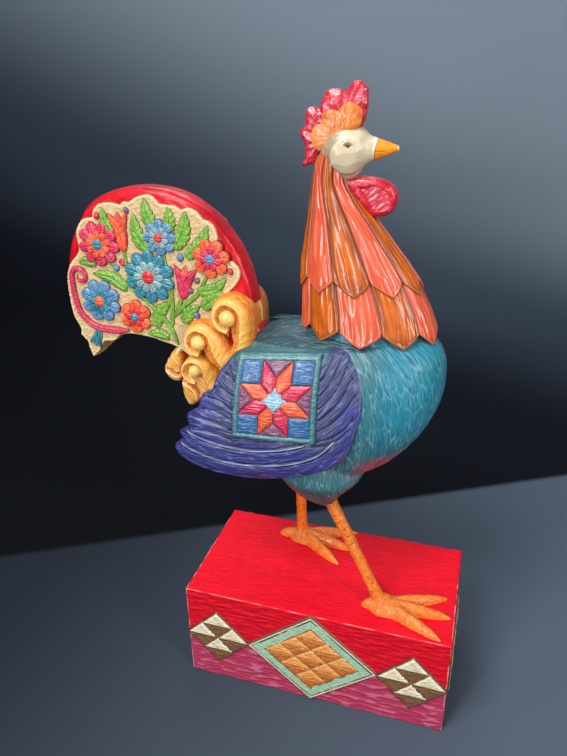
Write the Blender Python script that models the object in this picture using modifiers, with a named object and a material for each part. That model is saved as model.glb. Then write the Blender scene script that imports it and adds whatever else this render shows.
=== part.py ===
"""A standing rooster figurine of carved, painted wood, on a block with patchwork diamonds.

Metres, +Z up. The origin is the middle of the block's resting face, +X is where the beak
points and +Y is the bird's left. The bird is built in its own frame, whose origin lies on the
top of the block. Side outlines are drawn in millimetres in that frame, as (x, z), and each is
fitted to its piece's named length and height from the point where the piece is held.
"""

import math

import bmesh
import bpy
from mathutils import Matrix, Vector

MM = 0.001
GAP = 0.0003  # glue line between two pieces that seat on each other
HOLE_CLEARANCE = 0.0003  # round a dowel, peg or rod, on the radius

# Block
BLOCK_LENGTH = 0.200
BLOCK_DEPTH = 0.105
BLOCK_HEIGHT = 0.085
BLOCK_EDGE = 0.0014
FELT_THICKNESS = 0.001
FELT_PROUD = 0.0005
FELT_MARGIN = 0.004
TILE_THICKNESS = 0.0012
TILE_EDGE = 0.0004
SMALL_TILE_WIDTH = 0.050
SMALL_TILE_HEIGHT = 0.050

# Where the bird's frame stands on the block
BIRD_Y = 0.003

# Body
BODY_X = 0.0027
BODY_LENGTH = 0.1454
BODY_WIDTH = 0.088
BODY_LIFT = 0.171  # height of the line from the rump to the point of the breast
BODY_RISE = 0.038  # that line to the back
BODY_DROP = 0.077  # that line to the belly
RUMP_DROP = 0.003  # how far that line falls to the rump and climbs to the breast

# Legs and feet
LEG_RADIUS = 0.0043
RIGHT_HUB = (0.0485, -0.0315)  # where the legs meet the feet, in plan
LEFT_HUB = (-0.0305, 0.0303)
THIGH_DROP = 0.0125  # the thigh's end below the belly
THIGH_TIP_RADIUS = 0.009
THIGH_SPAN = 0.062
THIGH_WIDTH = 0.042
ROD_RADIUS = 0.002
ROD_IN_THIGH = 0.030
ROD_IN_BLOCK = 0.030
TOE_WIDTH = 0.0095
TOE_HEIGHT = 0.0075
HUB_RADIUS = 0.0115
HUB_HEIGHT = 0.0125

# Neck and its two capes of feathers
NECK_HEIGHT = 0.113  # from the lower feather tips to the head's underside
NECK_LENGTH = 0.0904  # fore and aft at the foot of the neck
NECK_WIDTH = 0.059
CAPE_THICKNESS = 0.003
CAPE_STEP = 0.0018  # how far the upper cape stands proud of the lower one
CAPE_OVERLAP = 0.016  # how far the lower cape runs up under the upper one
FEATHER_COLUMNS = 10
FEATHER_GROOVE = 0.0009
FEATHER_POINT_DEPTH = 0.0085
LOWER_TIP_HEIGHT = 0.0035  # feather tips over the foot of the neck
UPPER_TIP_HEIGHT = 0.0345
NECK_DOWEL_RADIUS = 0.005
NECK_DOWEL_LENGTH = 0.050
HEAD_DOWEL_RADIUS = 0.003
HEAD_DOWEL_LENGTH = 0.026

# Head
HEAD_RADIUS = 0.0162
HEAD_WIDTH = 0.027
HEAD_SNOUT = 0.0174  # from the head's middle to the root of the beak
BEAK_LENGTH = 0.0132
BEAK_RADIUS = 0.0061
BEAK_TIP_RADIUS = 0.0009
EYE_RADIUS = 0.0017
EYE_PROUD = 0.0007
COMB_LENGTH = 0.040
COMB_HEIGHT = 0.0468
COMB_THICKNESS = 0.009
COMB_ROUND = 0.0018
CREST_LENGTH = 0.0307
CREST_HEIGHT = 0.027
CREST_THICKNESS = 0.0035
CREST_ROUND = 0.001
WATTLE_LENGTH = 0.0338
WATTLE_HEIGHT = 0.0234
WATTLE_THICKNESS = 0.0125
WATTLE_ROUND = 0.0035
WATTLE_RECESS = 0.001

# Wings
WING_LENGTH = 0.1299
WING_HEIGHT = 0.0969
WING_STANDOFF = 0.008  # the wing's outer face over the body's widest line
WING_RIM = 0.0075
WING_PAD = 0.018
PANEL_LIFT = 0.002
PANEL_BORDER_LIFT = 0.0028
PANEL_BORDER_WIDTH = 0.0032
WING_PEG_RADIUS = 0.003
WING_PEG_IN_BODY = 0.010
WING_PEG_IN_WING = 0.004

# Tail
TAIL_LENGTH = 0.1541
TAIL_HEIGHT = 0.141
TAIL_THICKNESS = 0.020
TAIL_ROUND = 0.0045
TAIL_PANEL_THICKNESS = 0.0014
TAIL_PANEL_MARGIN = 0.0075
SCALLOP_DEPTH = 0.0035
SCALLOPS = 9
TAIL_DOWEL_RADIUS = 0.004
TAIL_DOWEL_LENGTH = 0.045

# Scrolled curls at the root of the tail
CURL_HEIGHT = 0.024  # from the bird's middle plane to the crest of a scroll
CURL_REACH = 0.010  # from the middle of the largest scroll to its ridge
CURL_CHANNEL_DEPTH = 0.0048
BOTTOM_CURL_DEPTH = 0.018
REAR_CURL_DEPTH = 0.027
ROLL_ROUND = 0.0035
PEARL_RADIUS = 0.0054

# Side outlines, in millimetres in the bird's frame, with the corners that stay sharp

HEAD_DRAWN = (5.8, 314)
HEAD_DRAWN_RADIUS = 16.2
COMB_DRAWN = (
    (10, 326), (14.7, 328.5), (17.2, 338), (17.7, 347.4), (13.1, 352.7), (8, 351.5), (4.4, 346.5),
    (-1, 349.1), (-6.5, 347.6), (-9, 343.2), (-10.5, 338.3), (-16.6, 339.4), (-19.7, 335),
    (-19, 330.2), (-22.3, 324.2), (-19.1, 316.2), (-21.3, 305.9), (-13.3, 306.9), (-9, 316), (0, 324),
)
COMB_SHARP = (6, 10, 13, 16, 17)
COMB_HELD = (4, 318)
CREST_DRAWN = (
    (14.8, 329.5), (16, 335.9), (12.9, 340.4), (8.5, 341.8), (4.2, 340.2), (2.1, 337), (-3.2, 337.8),
    (-8, 335.3), (-7.9, 330.5), (-12.6, 328.4), (-14.7, 323.7), (-13.2, 317.5), (-9.3, 314.8), (2, 320),
)
CREST_SHARP = (0, 5, 8, 12)
CREST_HELD = (4, 322)
WATTLE_DRAWN = (
    (4, 298.2), (9.5, 300.6), (16.2, 300.9), (24, 300.2), (30.2, 298.5), (35.4, 295), (37.8, 289.9),
    (36.3, 282.6), (31.9, 278.7), (26.4, 277.5), (20.8, 279.1), (10.8, 289.2),
)
WATTLE_FIELD_DRAWN = ((17.5, 292), (22, 296.2), (29, 296), (34, 291), (33.2, 284.6), (28, 280.8), (22, 283.5))
WATTLE_HELD = (9, 296)
WING_DRAWN = (
    (12.2, 199.5), (20.5, 194.5), (26.3, 185), (28.5, 170), (26.6, 154.5), (18.5, 130.5), (0, 115.8),
    (-33, 105.4), (-60, 102.6), (-85, 105.6), (-98.6, 113.8), (-101.4, 122.4), (-93.4, 129.6),
    (-96.6, 134.6), (-88.6, 139.4), (-90, 148.4), (-81.6, 153.8), (-78.6, 163.6), (-71.6, 168),
    (-68.6, 177.3), (-64.5, 183.8), (-53.5, 194.5), (-25, 197),
)
WING_SHARP = (12, 14, 16, 18)
WING_HELD = (-30, 155)
PANEL_CORNERS_DRAWN = ((-52.8, 194.2), (1.1, 198.1), (0.9, 142.3), (-55.2, 139.9))
TAIL_DRAWN = (
    (-51.6, 203.6), (-52.8, 218), (-56.6, 235.5), (-63.9, 253.2), (-77, 270.8), (-93.1, 282.8),
    (-111, 289.4), (-132.5, 291), (-154, 287), (-171, 278), (-182.5, 263.5), (-190.5, 248), (-195.4, 229.8),
    (-196.1, 211), (-194.6, 198.5), (-191.1, 192.8), (-192, 186.5), (-190, 181), (-185.7, 178.6),
    (-182.6, 163.5), (-171.3, 178.1), (-164.5, 178.8), (-157.8, 184.7), (-146.6, 186.1), (-130.3, 184.7),
    (-113.5, 179.3), (-97, 169), (-80, 154), (-60, 150), (-45, 165), (-42, 190),
)
TAIL_SHARP = (0, 15, 18, 19, 20, 22, 28, 29, 30)
TAIL_HELD = (-55, 175)
TAIL_ARCH = (0.2, 12.6)  # the stretch of control points along which the panel is scalloped

# Each scroll on the tail's root: its middle, its size, how far its ridge lies from the middle
# ahead, above, behind and below, how wide its outer band is where it starts and where it ends
# (both as shares of the reach), and how its tail runs off from the middle
SCROLLS_DRAWN = {
    "upper": (
        (-68, 209.8), 1.0, (1.0, 1.06, 0.82, 0.84), (0.9, 0.45), ((9.6, -9), (8.4, -19), (3, -34)),
    ),
    "middle": (
        (-90.9, 189.6), 0.92, (1.02, 0.98, 0.78, 0.84), (1.4, 0.3), ((12.5, -7), (17, -14), (28, -27)),
    ),
    "lower": (
        (-95.6, 166.9), 0.76, (0.74, 0.74, 0.9, 0.84), (1.3, 0.16), ((9.9, -7.9), (14, -15), (21, -25)),
    ),
}
BOTTOM_CURL_DRAWN = (
    (-107.4, 158), (-108, 151.5), (-107, 144.5), (-104.5, 139.6), (-100.8, 138), (-95, 142.4), (-87.2, 151),
    (-87.5, 158), (-93, 165), (-101, 167),
)
REAR_CURL_DRAWN = (
    (-123.3, 163.5), (-121.2, 157.2), (-115.8, 153.8), (-110.8, 155), (-109.2, 160), (-108.4, 168),
    (-108, 176), (-108, 181.5), (-113, 180), (-119.4, 172),
)

# The neck as drawn, in millimetres: height over its foot, back, front, and half width
NECK_DRAWN = (
    (-14, -24, 68.0, 31),
    (0, -22.2, 68.2, 29.5),
    (9, -20.8, 67.6, 28.2),
    (22.7, -20.4, 62.3, 25.5),
    (40.7, -20.1, 52.4, 22),
    (59.4, -18.9, 38.7, 18.2),
    (78.3, -16.9, 24.4, 14.8),
    (87.5, -15.7, 16.2, 13.4),
    (100, -14.2, 7.4, 12.2),
    (113, -12.6, 7.4, 11.2),
    (120, -6, 6, 9),
)
NECK_DRAWN_SIZE = (90.4, 59, 113)  # length, width and height
NECK_DRAWN_X = 23.1

# Toe directions in plan, in degrees from +X, and their lengths; the last is the back toe
TOES = {
    "right": ((25, 0.0495), (2, 0.0490), (-26, 0.0485), (188, 0.0165)),
    "left": ((20, 0.0475), (-9, 0.0460), (-36, 0.0460), (184, 0.0200)),
}
# Along a toe: share of its length, of its width and of its height
TOE_SECTIONS = (
    (-0.06, 0.75, 0.95), (0.2, 0.95, 1.1), (0.52, 1.0, 0.95), (0.82, 0.68, 0.64), (1.0, 0.12, 0.14),
)

# Places that follow from the sizes

SIDES = {"right": -1, "left": 1}
BIRD = Matrix.Translation((0, BIRD_Y, BLOCK_HEIGHT))
BELLY_Z = BODY_LIFT - BODY_DROP
RUMP_X = BODY_X - BODY_LENGTH / 2
NECK_FOOT = Vector((BODY_X + 0.14 * BODY_LENGTH, 0, BODY_LIFT + BODY_RISE - 0.011))
HEAD_CENTRE = NECK_FOOT + Vector((-0.191 * NECK_LENGTH, 0, NECK_HEIGHT + 0.003))
WING_PLACE = Vector((BODY_X - 0.225 * BODY_LENGTH, 0, BODY_LIFT - 0.016))
TAIL_PLACE = Vector((RUMP_X + 0.015, 0, BODY_LIFT + 0.004))
TAIL_DOWEL_MIDDLE = TAIL_PLACE + Vector((-0.013, 0, 0.004))
WING_PEG_X = BODY_X - 0.08 * BODY_LENGTH
WING_PEG_Z = BODY_LIFT - 0.018
HUBS = {"right": Vector((*RIGHT_HUB, 0)), "left": Vector((*LEFT_HUB, 0))}
THIGH_TIPS = {
    "right": Vector((BODY_X + 0.017 * BODY_LENGTH, -0.27 * BODY_WIDTH, BELLY_Z - THIGH_DROP)),
    "left": Vector((BODY_X - 0.234 * BODY_LENGTH, 0.28 * BODY_WIDTH, BELLY_Z - THIGH_DROP)),
}
HIP_HEIGHT = 0.019  # over the belly
HIPS = {
    "right": Vector((BODY_X - 0.069 * BODY_LENGTH, -0.24 * BODY_WIDTH, BELLY_Z + HIP_HEIGHT)),
    "left": Vector((BODY_X - 0.179 * BODY_LENGTH, 0.24 * BODY_WIDTH, BELLY_Z + HIP_HEIGHT)),
}


# Collections, materials and basic solids

for old in list(bpy.data.objects):
    bpy.data.objects.remove(old, do_unlink=True)

PARTS = bpy.data.collections.new("rooster_figurine")
CUTTERS = bpy.data.collections.new("cutters")
for group in (PARTS, CUTTERS):
    bpy.context.scene.collection.children.link(group)


def material(name, colour, roughness, metallic=0.0):
    made = bpy.data.materials.new(name)
    made.use_nodes = True
    shader = made.node_tree.nodes["Principled BSDF"]
    shader.inputs["Base Color"].default_value = (*colour, 1)
    shader.inputs["Roughness"].default_value = roughness
    shader.inputs["Metallic"].default_value = metallic
    made.diffuse_color = (*colour, 1)
    return made


RED = material("red_gloss", (0.62, 0.01, 0.02), 0.25)
BLOCK_RED = material("block_red", (0.55, 0.01, 0.025), 0.4)
CREAM = material("sandy_cream", (0.68, 0.50, 0.25), 0.55)
MINT = material("mint", (0.30, 0.55, 0.36), 0.5)
TEAL = material("teal", (0.015, 0.13, 0.17), 0.3)
INDIGO = material("indigo", (0.05, 0.05, 0.22), 0.4)
PLUM = material("plum", (0.26, 0.08, 0.17), 0.4)
CORAL = material("coral", (0.85, 0.15, 0.07), 0.3)
AMBER = material("amber", (0.60, 0.15, 0.01), 0.3)
CURL_GOLD = material("curl_gold", (0.85, 0.42, 0.09), 0.4)
IVORY = material("ivory", (0.68, 0.60, 0.40), 0.35)
BEAK_ORANGE = material("beak_orange", (0.95, 0.37, 0.02), 0.35)
CRIMSON = material("crimson", (0.65, 0.015, 0.05), 0.3)
CREST_ORANGE = material("crest_orange", (0.82, 0.28, 0.04), 0.35)
LEG_ORANGE = material("leg_orange", (0.80, 0.18, 0.015), 0.4)
BLACK = material("bead_black", (0.01, 0.01, 0.01), 0.1)
STEEL = material("zinc_steel", (0.55, 0.55, 0.56), 0.35, 1.0)
WOOD = material("beech", (0.50, 0.34, 0.18), 0.6)
FELT = material("green_felt", (0.02, 0.09, 0.05), 0.95)


def add(name, mesh, paint, matrix=None, group=PARTS):
    piece = bpy.data.objects.new(name, mesh)
    group.objects.link(piece)
    piece.matrix_world = matrix if matrix else Matrix()
    if paint:
        mesh.materials.clear()
        mesh.materials.append(paint)
    if group is CUTTERS:
        piece.hide_render = True
        piece.display_type = "WIRE"
    return piece


def from_bmesh(name, shape, paint, matrix=None, group=PARTS, smooth=False):
    bmesh.ops.triangulate(shape, faces=[face for face in shape.faces if len(face.verts) > 3])
    bmesh.ops.recalc_face_normals(shape, faces=shape.faces)
    mesh = bpy.data.meshes.new(name)
    shape.to_mesh(mesh)
    shape.free()
    if smooth:
        mesh.shade_smooth()
        mesh.set_sharp_from_angle(angle=math.radians(35))
    return add(name, mesh, paint, matrix, group)


def box(name, size, centre, paint=None, group=PARTS):
    shape = bmesh.new()
    bmesh.ops.create_cube(shape, size=1)
    bmesh.ops.transform(shape, matrix=Matrix.Diagonal((*size, 1)), verts=shape.verts)
    return from_bmesh(name, shape, paint, Matrix.Translation(centre), group)


def round_bar(name, radius, start, end, paint=None, group=PARTS, sides=16):
    """A cylinder between two points."""
    start, end = Vector(start), Vector(end)
    shape = bmesh.new()
    bmesh.ops.create_cone(
        shape, cap_ends=True, segments=sides, radius1=radius, radius2=radius, depth=(end - start).length
    )
    turn = (end - start).to_track_quat("Z", "Y").to_matrix().to_4x4()
    place = Matrix.Translation((start + end) / 2) @ turn
    return from_bmesh(name, shape, paint, place, group, smooth=True)


def ball(name, radius, centre, paint=None, group=PARTS, sides=8):
    shape = bmesh.new()
    bmesh.ops.create_uvsphere(shape, u_segments=sides, v_segments=sides // 2 + 1, radius=radius)
    return from_bmesh(name, shape, paint, Matrix.Translation(centre), group, smooth=True)


def loft(name, rings, paint=None, matrix=None, group=PARTS):
    """A closed skin over rings of equal count; a ring of one point closes an end to a pole."""
    shape = bmesh.new()
    rows = [[shape.verts.new(point) for point in ring] for ring in rings]
    for here, there in zip(rows, rows[1:]):
        count = max(len(here), len(there))
        for k in range(count):
            after = (k + 1) % count
            corners = []
            for row, place in ((here, k), (here, after), (there, after), (there, k)):
                corner = row[place % len(row)]
                if corner not in corners:
                    corners.append(corner)
            shape.faces.new(corners)
    for row in (rows[0], rows[-1]):
        if len(row) > 2:
            shape.faces.new(row)
    return from_bmesh(name, shape, paint, matrix, group, smooth=True)


def plate(name, outline, thickness, rounding, y, paint=None, matrix=None, group=PARTS):
    """A flat outline in (x, z), as a filled 2D curve with rounded edges, centred on y."""
    curve = bpy.data.curves.new(name, "CURVE")
    curve.dimensions = "2D"
    curve.fill_mode = "BOTH"
    curve.extrude = thickness / 2 - rounding
    curve.bevel_depth = rounding
    curve.bevel_resolution = 1 if rounding > 0.003 else 0
    curve.offset = -rounding
    spline = curve.splines.new("POLY")
    spline.points.add(len(outline) - 1)
    for point, (x, z) in zip(spline.points, outline):
        point.co = (x, z, 0, 1)
    spline.use_cyclic_u = True
    upright = Matrix.Translation((0, y, 0)) @ Matrix.Rotation(math.pi / 2, 4, "X")
    drawn = add(name + "_curve", curve, None, (matrix if matrix else Matrix()) @ upright, group)
    return as_mesh(drawn, name, paint, group)


def as_mesh(drawn, name, paint, group):
    """The curve's evaluated shape as a welded mesh, in the curve's place."""
    bpy.context.view_layer.update()
    mesh = bpy.data.meshes.new_from_object(drawn.evaluated_get(bpy.context.evaluated_depsgraph_get()))
    place = drawn.matrix_world.copy()
    bpy.data.objects.remove(drawn, do_unlink=True)
    shape = bmesh.new()
    shape.from_mesh(mesh)
    bmesh.ops.remove_doubles(shape, verts=shape.verts, dist=0.00001)
    return from_bmesh(name, shape, paint, place, group, smooth=True)


# Booleans

def settle(piece):
    """Works the modifiers of a piece into its mesh."""
    bpy.context.view_layer.update()
    evaluated = piece.evaluated_get(bpy.context.evaluated_depsgraph_get())
    mesh = bpy.data.meshes.new_from_object(evaluated)
    piece.modifiers.clear()
    piece.data = mesh
    return piece


def combine(piece, operation, others, solver):
    """One Boolean after another."""
    for other in others:
        change = piece.modifiers.new(operation.lower(), "BOOLEAN")
        change.operation = operation
        change.solver = solver
        change.object = other
        settle(piece)
    return piece


def cut(piece, *others):
    """Cuts holes and recesses."""
    return combine(piece, "DIFFERENCE", others, "EXACT")


def join(piece, *others):
    """Grows carved forms into each other.

    Here, and where pieces seat on each other, the exact solver turns some cuts between two
    nearly parallel skins inside out, so these use the manifold one.
    """
    return combine(piece, "UNION", others, "MANIFOLD")


def grown(piece, by=GAP):
    """A cutter that is the piece, swollen by the glue line."""
    copy = add(piece.name + "_grown", piece.data.copy(), None, piece.matrix_world.copy(), CUTTERS)
    swell = copy.modifiers.new("swell", "DISPLACE")
    swell.mid_level = 0
    swell.strength = by
    return settle(copy)


def carve(piece, *cutters):
    """Cuts a piece away along a carved skin."""
    return largest_body(combine(piece, "DIFFERENCE", cutters, "MANIFOLD"))


def largest_body(piece):
    """Drops the specks and slivers that a cut parts from the piece, and keeps its main body."""
    shape = bmesh.new()
    shape.from_mesh(piece.data)
    rest = set(shape.verts)
    islands = []
    while rest:
        island, todo = set(), [rest.pop()]
        while todo:
            vertex = todo.pop()
            island.add(vertex)
            near = {edge.other_vert(vertex) for edge in vertex.link_edges} & rest
            rest -= near
            todo += near
        islands.append(island)
    islands.sort(key=len)
    for island in islands[:-1]:
        bmesh.ops.delete(shape, geom=list(island), context="VERTS")
    shape.to_mesh(piece.data)
    shape.free()
    return piece


def seat(piece, *carriers):
    """Cuts the piece away where its carriers are, and leaves the glue line."""
    return carve(piece, *[grown(carrier) for carrier in carriers])


# Outlines and sections

def span(points, axis):
    values = [point[axis] for point in points]
    return (max(values) - min(values)) * MM


def fitted(points, length, height, held, place, whole=None):
    """Drawn millimetres as metres, stretched about the held point, which comes to its place.

    whole is the outline that has the length and height, when the points are a detail on it.
    """
    frame = whole if whole else points
    wide, tall = length / span(frame, 0), height / span(frame, 1)
    return [(place.x + (x - held[0]) * MM * wide, place.z + (z - held[1]) * MM * tall) for x, z in points]


def on_head(held):
    """The place on the real head of a point that is drawn on the head."""
    scale = HEAD_RADIUS / HEAD_DRAWN_RADIUS
    return HEAD_CENTRE + Vector((held[0] - HEAD_DRAWN[0], 0, held[1] - HEAD_DRAWN[1])) * scale


def on_tail(points):
    return fitted(points, TAIL_LENGTH, TAIL_HEIGHT, TAIL_HELD, TAIL_PLACE, TAIL_DRAWN)


def smooth(points, steps, sharp=()):
    """A closed curve through the points, broken at the sharp ones."""
    count = len(points)
    out = []
    for k in range(count):
        before, here, there, after = (Vector(points[(k + i) % count]) for i in (-1, 0, 1, 2))
        leave = (there - before) / 2 if k not in sharp else (there - here) / 2
        arrive = (after - here) / 2 if (k + 1) % count not in sharp else (there - here) / 2
        for step in range(steps):
            t = step / steps
            out.append(
                here * (2 * t**3 - 3 * t**2 + 1) + leave * (t**3 - 2 * t**2 + t)
                + there * (3 * t**2 - 2 * t**3) + arrive * (t**3 - t**2)
            )
    return out


def between(table, height):
    """A row of a table of sections at this height."""
    if height <= table[0][0]:
        return table[0][1:]
    for low, high in zip(table, table[1:]):
        if height <= high[0]:
            t = (height - low[0]) / (high[0] - low[0])
            return tuple(a + (b - a) * t for a, b in zip(low[1:], high[1:]))
    return table[-1][1:]


def super_curve(t, power):
    """How high a rounded curve stands at t, from 1 in its middle to 0 at its ends."""
    return max(0.0, 1 - abs(t) ** power) ** (1 / power)


def turns(count, start=0.0):
    """Angles that go once round."""
    return [2 * math.pi * (k + start) / count for k in range(count)]


def ring_between(top, bottom, half_width, power, sides):
    """A ring in the plane of two points and the Y axis."""
    top, bottom = Vector(top), Vector(bottom)
    middle, reach = (top + bottom) / 2, (top - bottom) / 2
    points = []
    for angle in turns(sides):
        c, s = math.cos(angle), math.sin(angle)
        up = math.copysign(abs(c) ** (2 / power), c)
        out = math.copysign(abs(s) ** (2 / power), s)
        points.append(middle + reach * up + Vector((0, half_width * out, 0)))
    return points


# Block, with its felt and diamonds

def make_block():
    height = BLOCK_HEIGHT - FELT_PROUD
    middle = (0, 0, FELT_PROUD + height / 2)
    block = box("plinth_block", (BLOCK_LENGTH, BLOCK_DEPTH, height), middle, BLOCK_RED)
    soften = block.modifiers.new("edges", "BEVEL")
    soften.width = BLOCK_EDGE
    soften.segments = 2
    settle(block)
    recess = (BLOCK_LENGTH - 2 * FELT_MARGIN, BLOCK_DEPTH - 2 * FELT_MARGIN)
    recess_top = FELT_THICKNESS + GAP
    cut(block, box("felt_recess", (*recess, 2 * recess_top), (0, 0, 0), None, CUTTERS))
    for side in SIDES:
        cut(block, rod_hole(side))
    felt = tuple(length - 2 * GAP for length in recess)
    box("plinth_felt", (*felt, FELT_THICKNESS), (0, 0, FELT_THICKNESS / 2), FELT)


def make_tile(name, width, height, place, turn=0.0):
    """A raised diamond on a face of the block, whose outward side is -Y before the turn."""
    half_width, half_height = width / 2 - GAP, height / 2 - GAP
    corners = [(0, half_height), (half_width, 0), (0, -half_height), (-half_width, 0)]
    matrix = Matrix.Translation(place) @ Matrix.Rotation(turn, 4, "Z")
    plate(name, corners, TILE_THICKNESS, TILE_EDGE, -(GAP + TILE_THICKNESS / 2), MINT, matrix)


def make_tiles():
    middle = (BLOCK_HEIGHT + FELT_PROUD) / 2
    tall = BLOCK_HEIGHT - FELT_PROUD - 2 * BLOCK_EDGE
    large_width = BLOCK_LENGTH - 2 * SMALL_TILE_WIDTH
    small_width = SMALL_TILE_WIDTH - 2 * BLOCK_EDGE
    small_x = (BLOCK_LENGTH - SMALL_TILE_WIDTH) / 2
    for face, way, turn in (("right", -1, 0.0), ("left", 1, math.pi)):
        y = way * BLOCK_DEPTH / 2
        make_tile(f"tile_{face}_large", large_width, tall, (0, y, middle), turn)
        for end, x in (("front", small_x), ("rear", -small_x)):
            make_tile(f"tile_{face}_{end}", small_width, SMALL_TILE_HEIGHT, (x, y, middle), turn)
    for end, way in (("front", 1), ("rear", -1)):
        place = (way * BLOCK_LENGTH / 2, 0, middle)
        make_tile(f"tile_{end}_end", BLOCK_DEPTH - 2 * BLOCK_EDGE, tall, place, way * math.pi / 2)


# Body with its thighs

def body_half_width(t):
    return BODY_WIDTH / 2 * super_curve(t, 2.2 if t > 0 else 2.0)


def body_line(t):
    return BODY_LIFT + RUMP_DROP * t


def body_top(t):
    return body_line(t) + BODY_RISE * super_curve(t, 3.2 if t > 0 else 2.6)


def body_bottom(t):
    return body_line(t) - BODY_DROP * super_curve(t, 1.8 if t > 0 else 2.0)


def make_body():
    """An egg that is lofted along the bird, from a pole at the rump to one at the breast."""
    stations, sides, section_power = 12, 24, 2.3
    near_pole = 0.35
    rings = []
    for station in [0, near_pole, *range(1, stations), stations - near_pole, stations]:
        t = -math.cos(math.pi * station / stations)
        x = BODY_X + t * BODY_LENGTH / 2
        if abs(t) == 1:
            rings.append([Vector((x, 0, body_line(t)))])
        else:
            top, bottom = (x, 0, body_top(t)), (x, 0, body_bottom(t))
            rings.append(ring_between(top, bottom, body_half_width(t), section_power, sides))
    body = loft("body", rings, TEAL, BIRD)
    return join(body, *[make_thigh(side) for side in SIDES])


def make_thigh(side):
    """The feathered thigh, from a broad root in the belly to a round end square to the leg."""
    tip, hip, axis = THIGH_TIPS[side], HIPS[side], leg_axis(side)
    across = Vector((0, 1, 0))
    along = across.cross(axis).normalized()
    if along.x < 0:
        along = -along
    # share of the way up, half length, half width and how far the section has turned level
    sections = (
        (0.0, THIGH_TIP_RADIUS - 0.0015, THIGH_TIP_RADIUS - 0.0015, 0.0),
        (0.05, THIGH_TIP_RADIUS, THIGH_TIP_RADIUS, 0.05),
        (0.38, 0.37 * THIGH_SPAN, 0.40 * THIGH_WIDTH, 0.55),
        (0.75, THIGH_SPAN / 2, THIGH_WIDTH / 2, 0.9),
        (1.15, 0.45 * THIGH_SPAN, 0.46 * THIGH_WIDTH, 1.0),
    )
    rings = []
    for share, half_length, half_width, level in sections:
        centre = tip.lerp(hip, share)
        lengthwise = along.lerp(Vector((1, 0, 0)), level).normalized()
        rings.append([
            centre + lengthwise * half_length * math.cos(angle) + across * half_width * math.sin(angle)
            for angle in turns(16)
        ])
    return loft("thigh_" + side, rings, None, BIRD, CUTTERS)


# Legs, feet and the rods in them

def leg_axis(side):
    """Unit vector down the leg."""
    return (HUBS[side] - THIGH_TIPS[side]).normalized()


def rod_ends(side):
    axis = leg_axis(side)
    return BIRD @ (THIGH_TIPS[side] - axis * ROD_IN_THIGH), BIRD @ (HUBS[side] + axis * ROD_IN_BLOCK)


def rod_hole(side):
    """A cutter for the rod's hole, longer than the rod by the glue line at each end."""
    top, bottom = rod_ends(side)
    spare = leg_axis(side) * GAP
    radius = ROD_RADIUS + HOLE_CLEARANCE
    return round_bar("rod_hole_" + side, radius, top - spare, bottom + spare, None, CUTTERS, 12)


def make_rod(side):
    round_bar("leg_rod_" + side, ROD_RADIUS, *rod_ends(side), STEEL, PARTS, 12)


def make_foot(side):
    """A hub under the leg with three long front toes and a short back one, flat underneath."""
    hub = HUBS[side]
    dome = []
    for wide, high in ((0.9, -0.4), (1.0, 0.1), (0.88, 0.55), (0.52, 0.92)):
        reach, lift = HUB_RADIUS * wide, HUB_HEIGHT * high
        dome.append([
            hub + Vector((reach * math.cos(angle), reach * math.sin(angle), lift)) for angle in turns(14, 0.4)
        ])
    foot = loft("foot_" + side, dome, LEG_ORANGE, BIRD)
    for number, (direction, length) in enumerate(TOES[side]):
        ahead = Vector((math.cos(math.radians(direction)), math.sin(math.radians(direction)), 0))
        beside = Vector((-ahead.y, ahead.x, 0))
        rings = []
        for share, wide, high in TOE_SECTIONS:
            centre = hub + ahead * (length * share)
            half, tall = TOE_WIDTH / 2 * wide, TOE_HEIGHT * high
            rings.append([
                centre + beside * half * math.cos(angle) + Vector((0, 0, tall * math.sin(angle)))
                for angle in turns(10)
            ])
        join(foot, loft(f"toe_{side}_{number}", rings, None, BIRD, CUTTERS))
    deep = 2 * HUB_HEIGHT
    reach = 4 * max(length for _, length in TOES[side])
    middle = BIRD @ (hub + Vector((0, 0, GAP - deep / 2)))
    return carve(foot, box("floor_" + side, (reach, reach, deep), middle, None, CUTTERS))


def make_leg(side, body, foot):
    axis = leg_axis(side)
    top = BIRD @ (THIGH_TIPS[side] - axis * THIGH_TIP_RADIUS / 3)
    bottom = BIRD @ (HUBS[side] - axis * HUB_HEIGHT / 2)
    leg = round_bar("leg_" + side, LEG_RADIUS, top, bottom, LEG_ORANGE, PARTS, 18)
    return seat(leg, body, foot)


# Neck and capes

def neck_section(height):
    """Middle x, half length and half width of the neck at a height over its foot."""
    long, wide, tall = (
        size / drawn for size, drawn in zip((NECK_LENGTH, NECK_WIDTH, NECK_HEIGHT), NECK_DRAWN_SIZE)
    )
    back, front, half_width = between(NECK_DRAWN, height / tall)
    middle = NECK_FOOT.x + ((back + front) / 2 - NECK_DRAWN_X) * long
    return middle, (front - back) / 2 * long, half_width * wide


def neck_ring(height, offset, sides_each, groove=0.0):
    """A section of the neck, drawn in by the groove between two columns of feathers."""
    middle, half_length, half_width = neck_section(height)
    ring = []
    for k, angle in enumerate(turns(sides_each * FEATHER_COLUMNS)):
        out = offset - (groove if k % sides_each == 0 else 0.0)
        x, y = middle + (half_length + out) * math.cos(angle), (half_width + out) * math.sin(angle)
        ring.append(Vector((x, y, NECK_FOOT.z + height)))
    return ring


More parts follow.
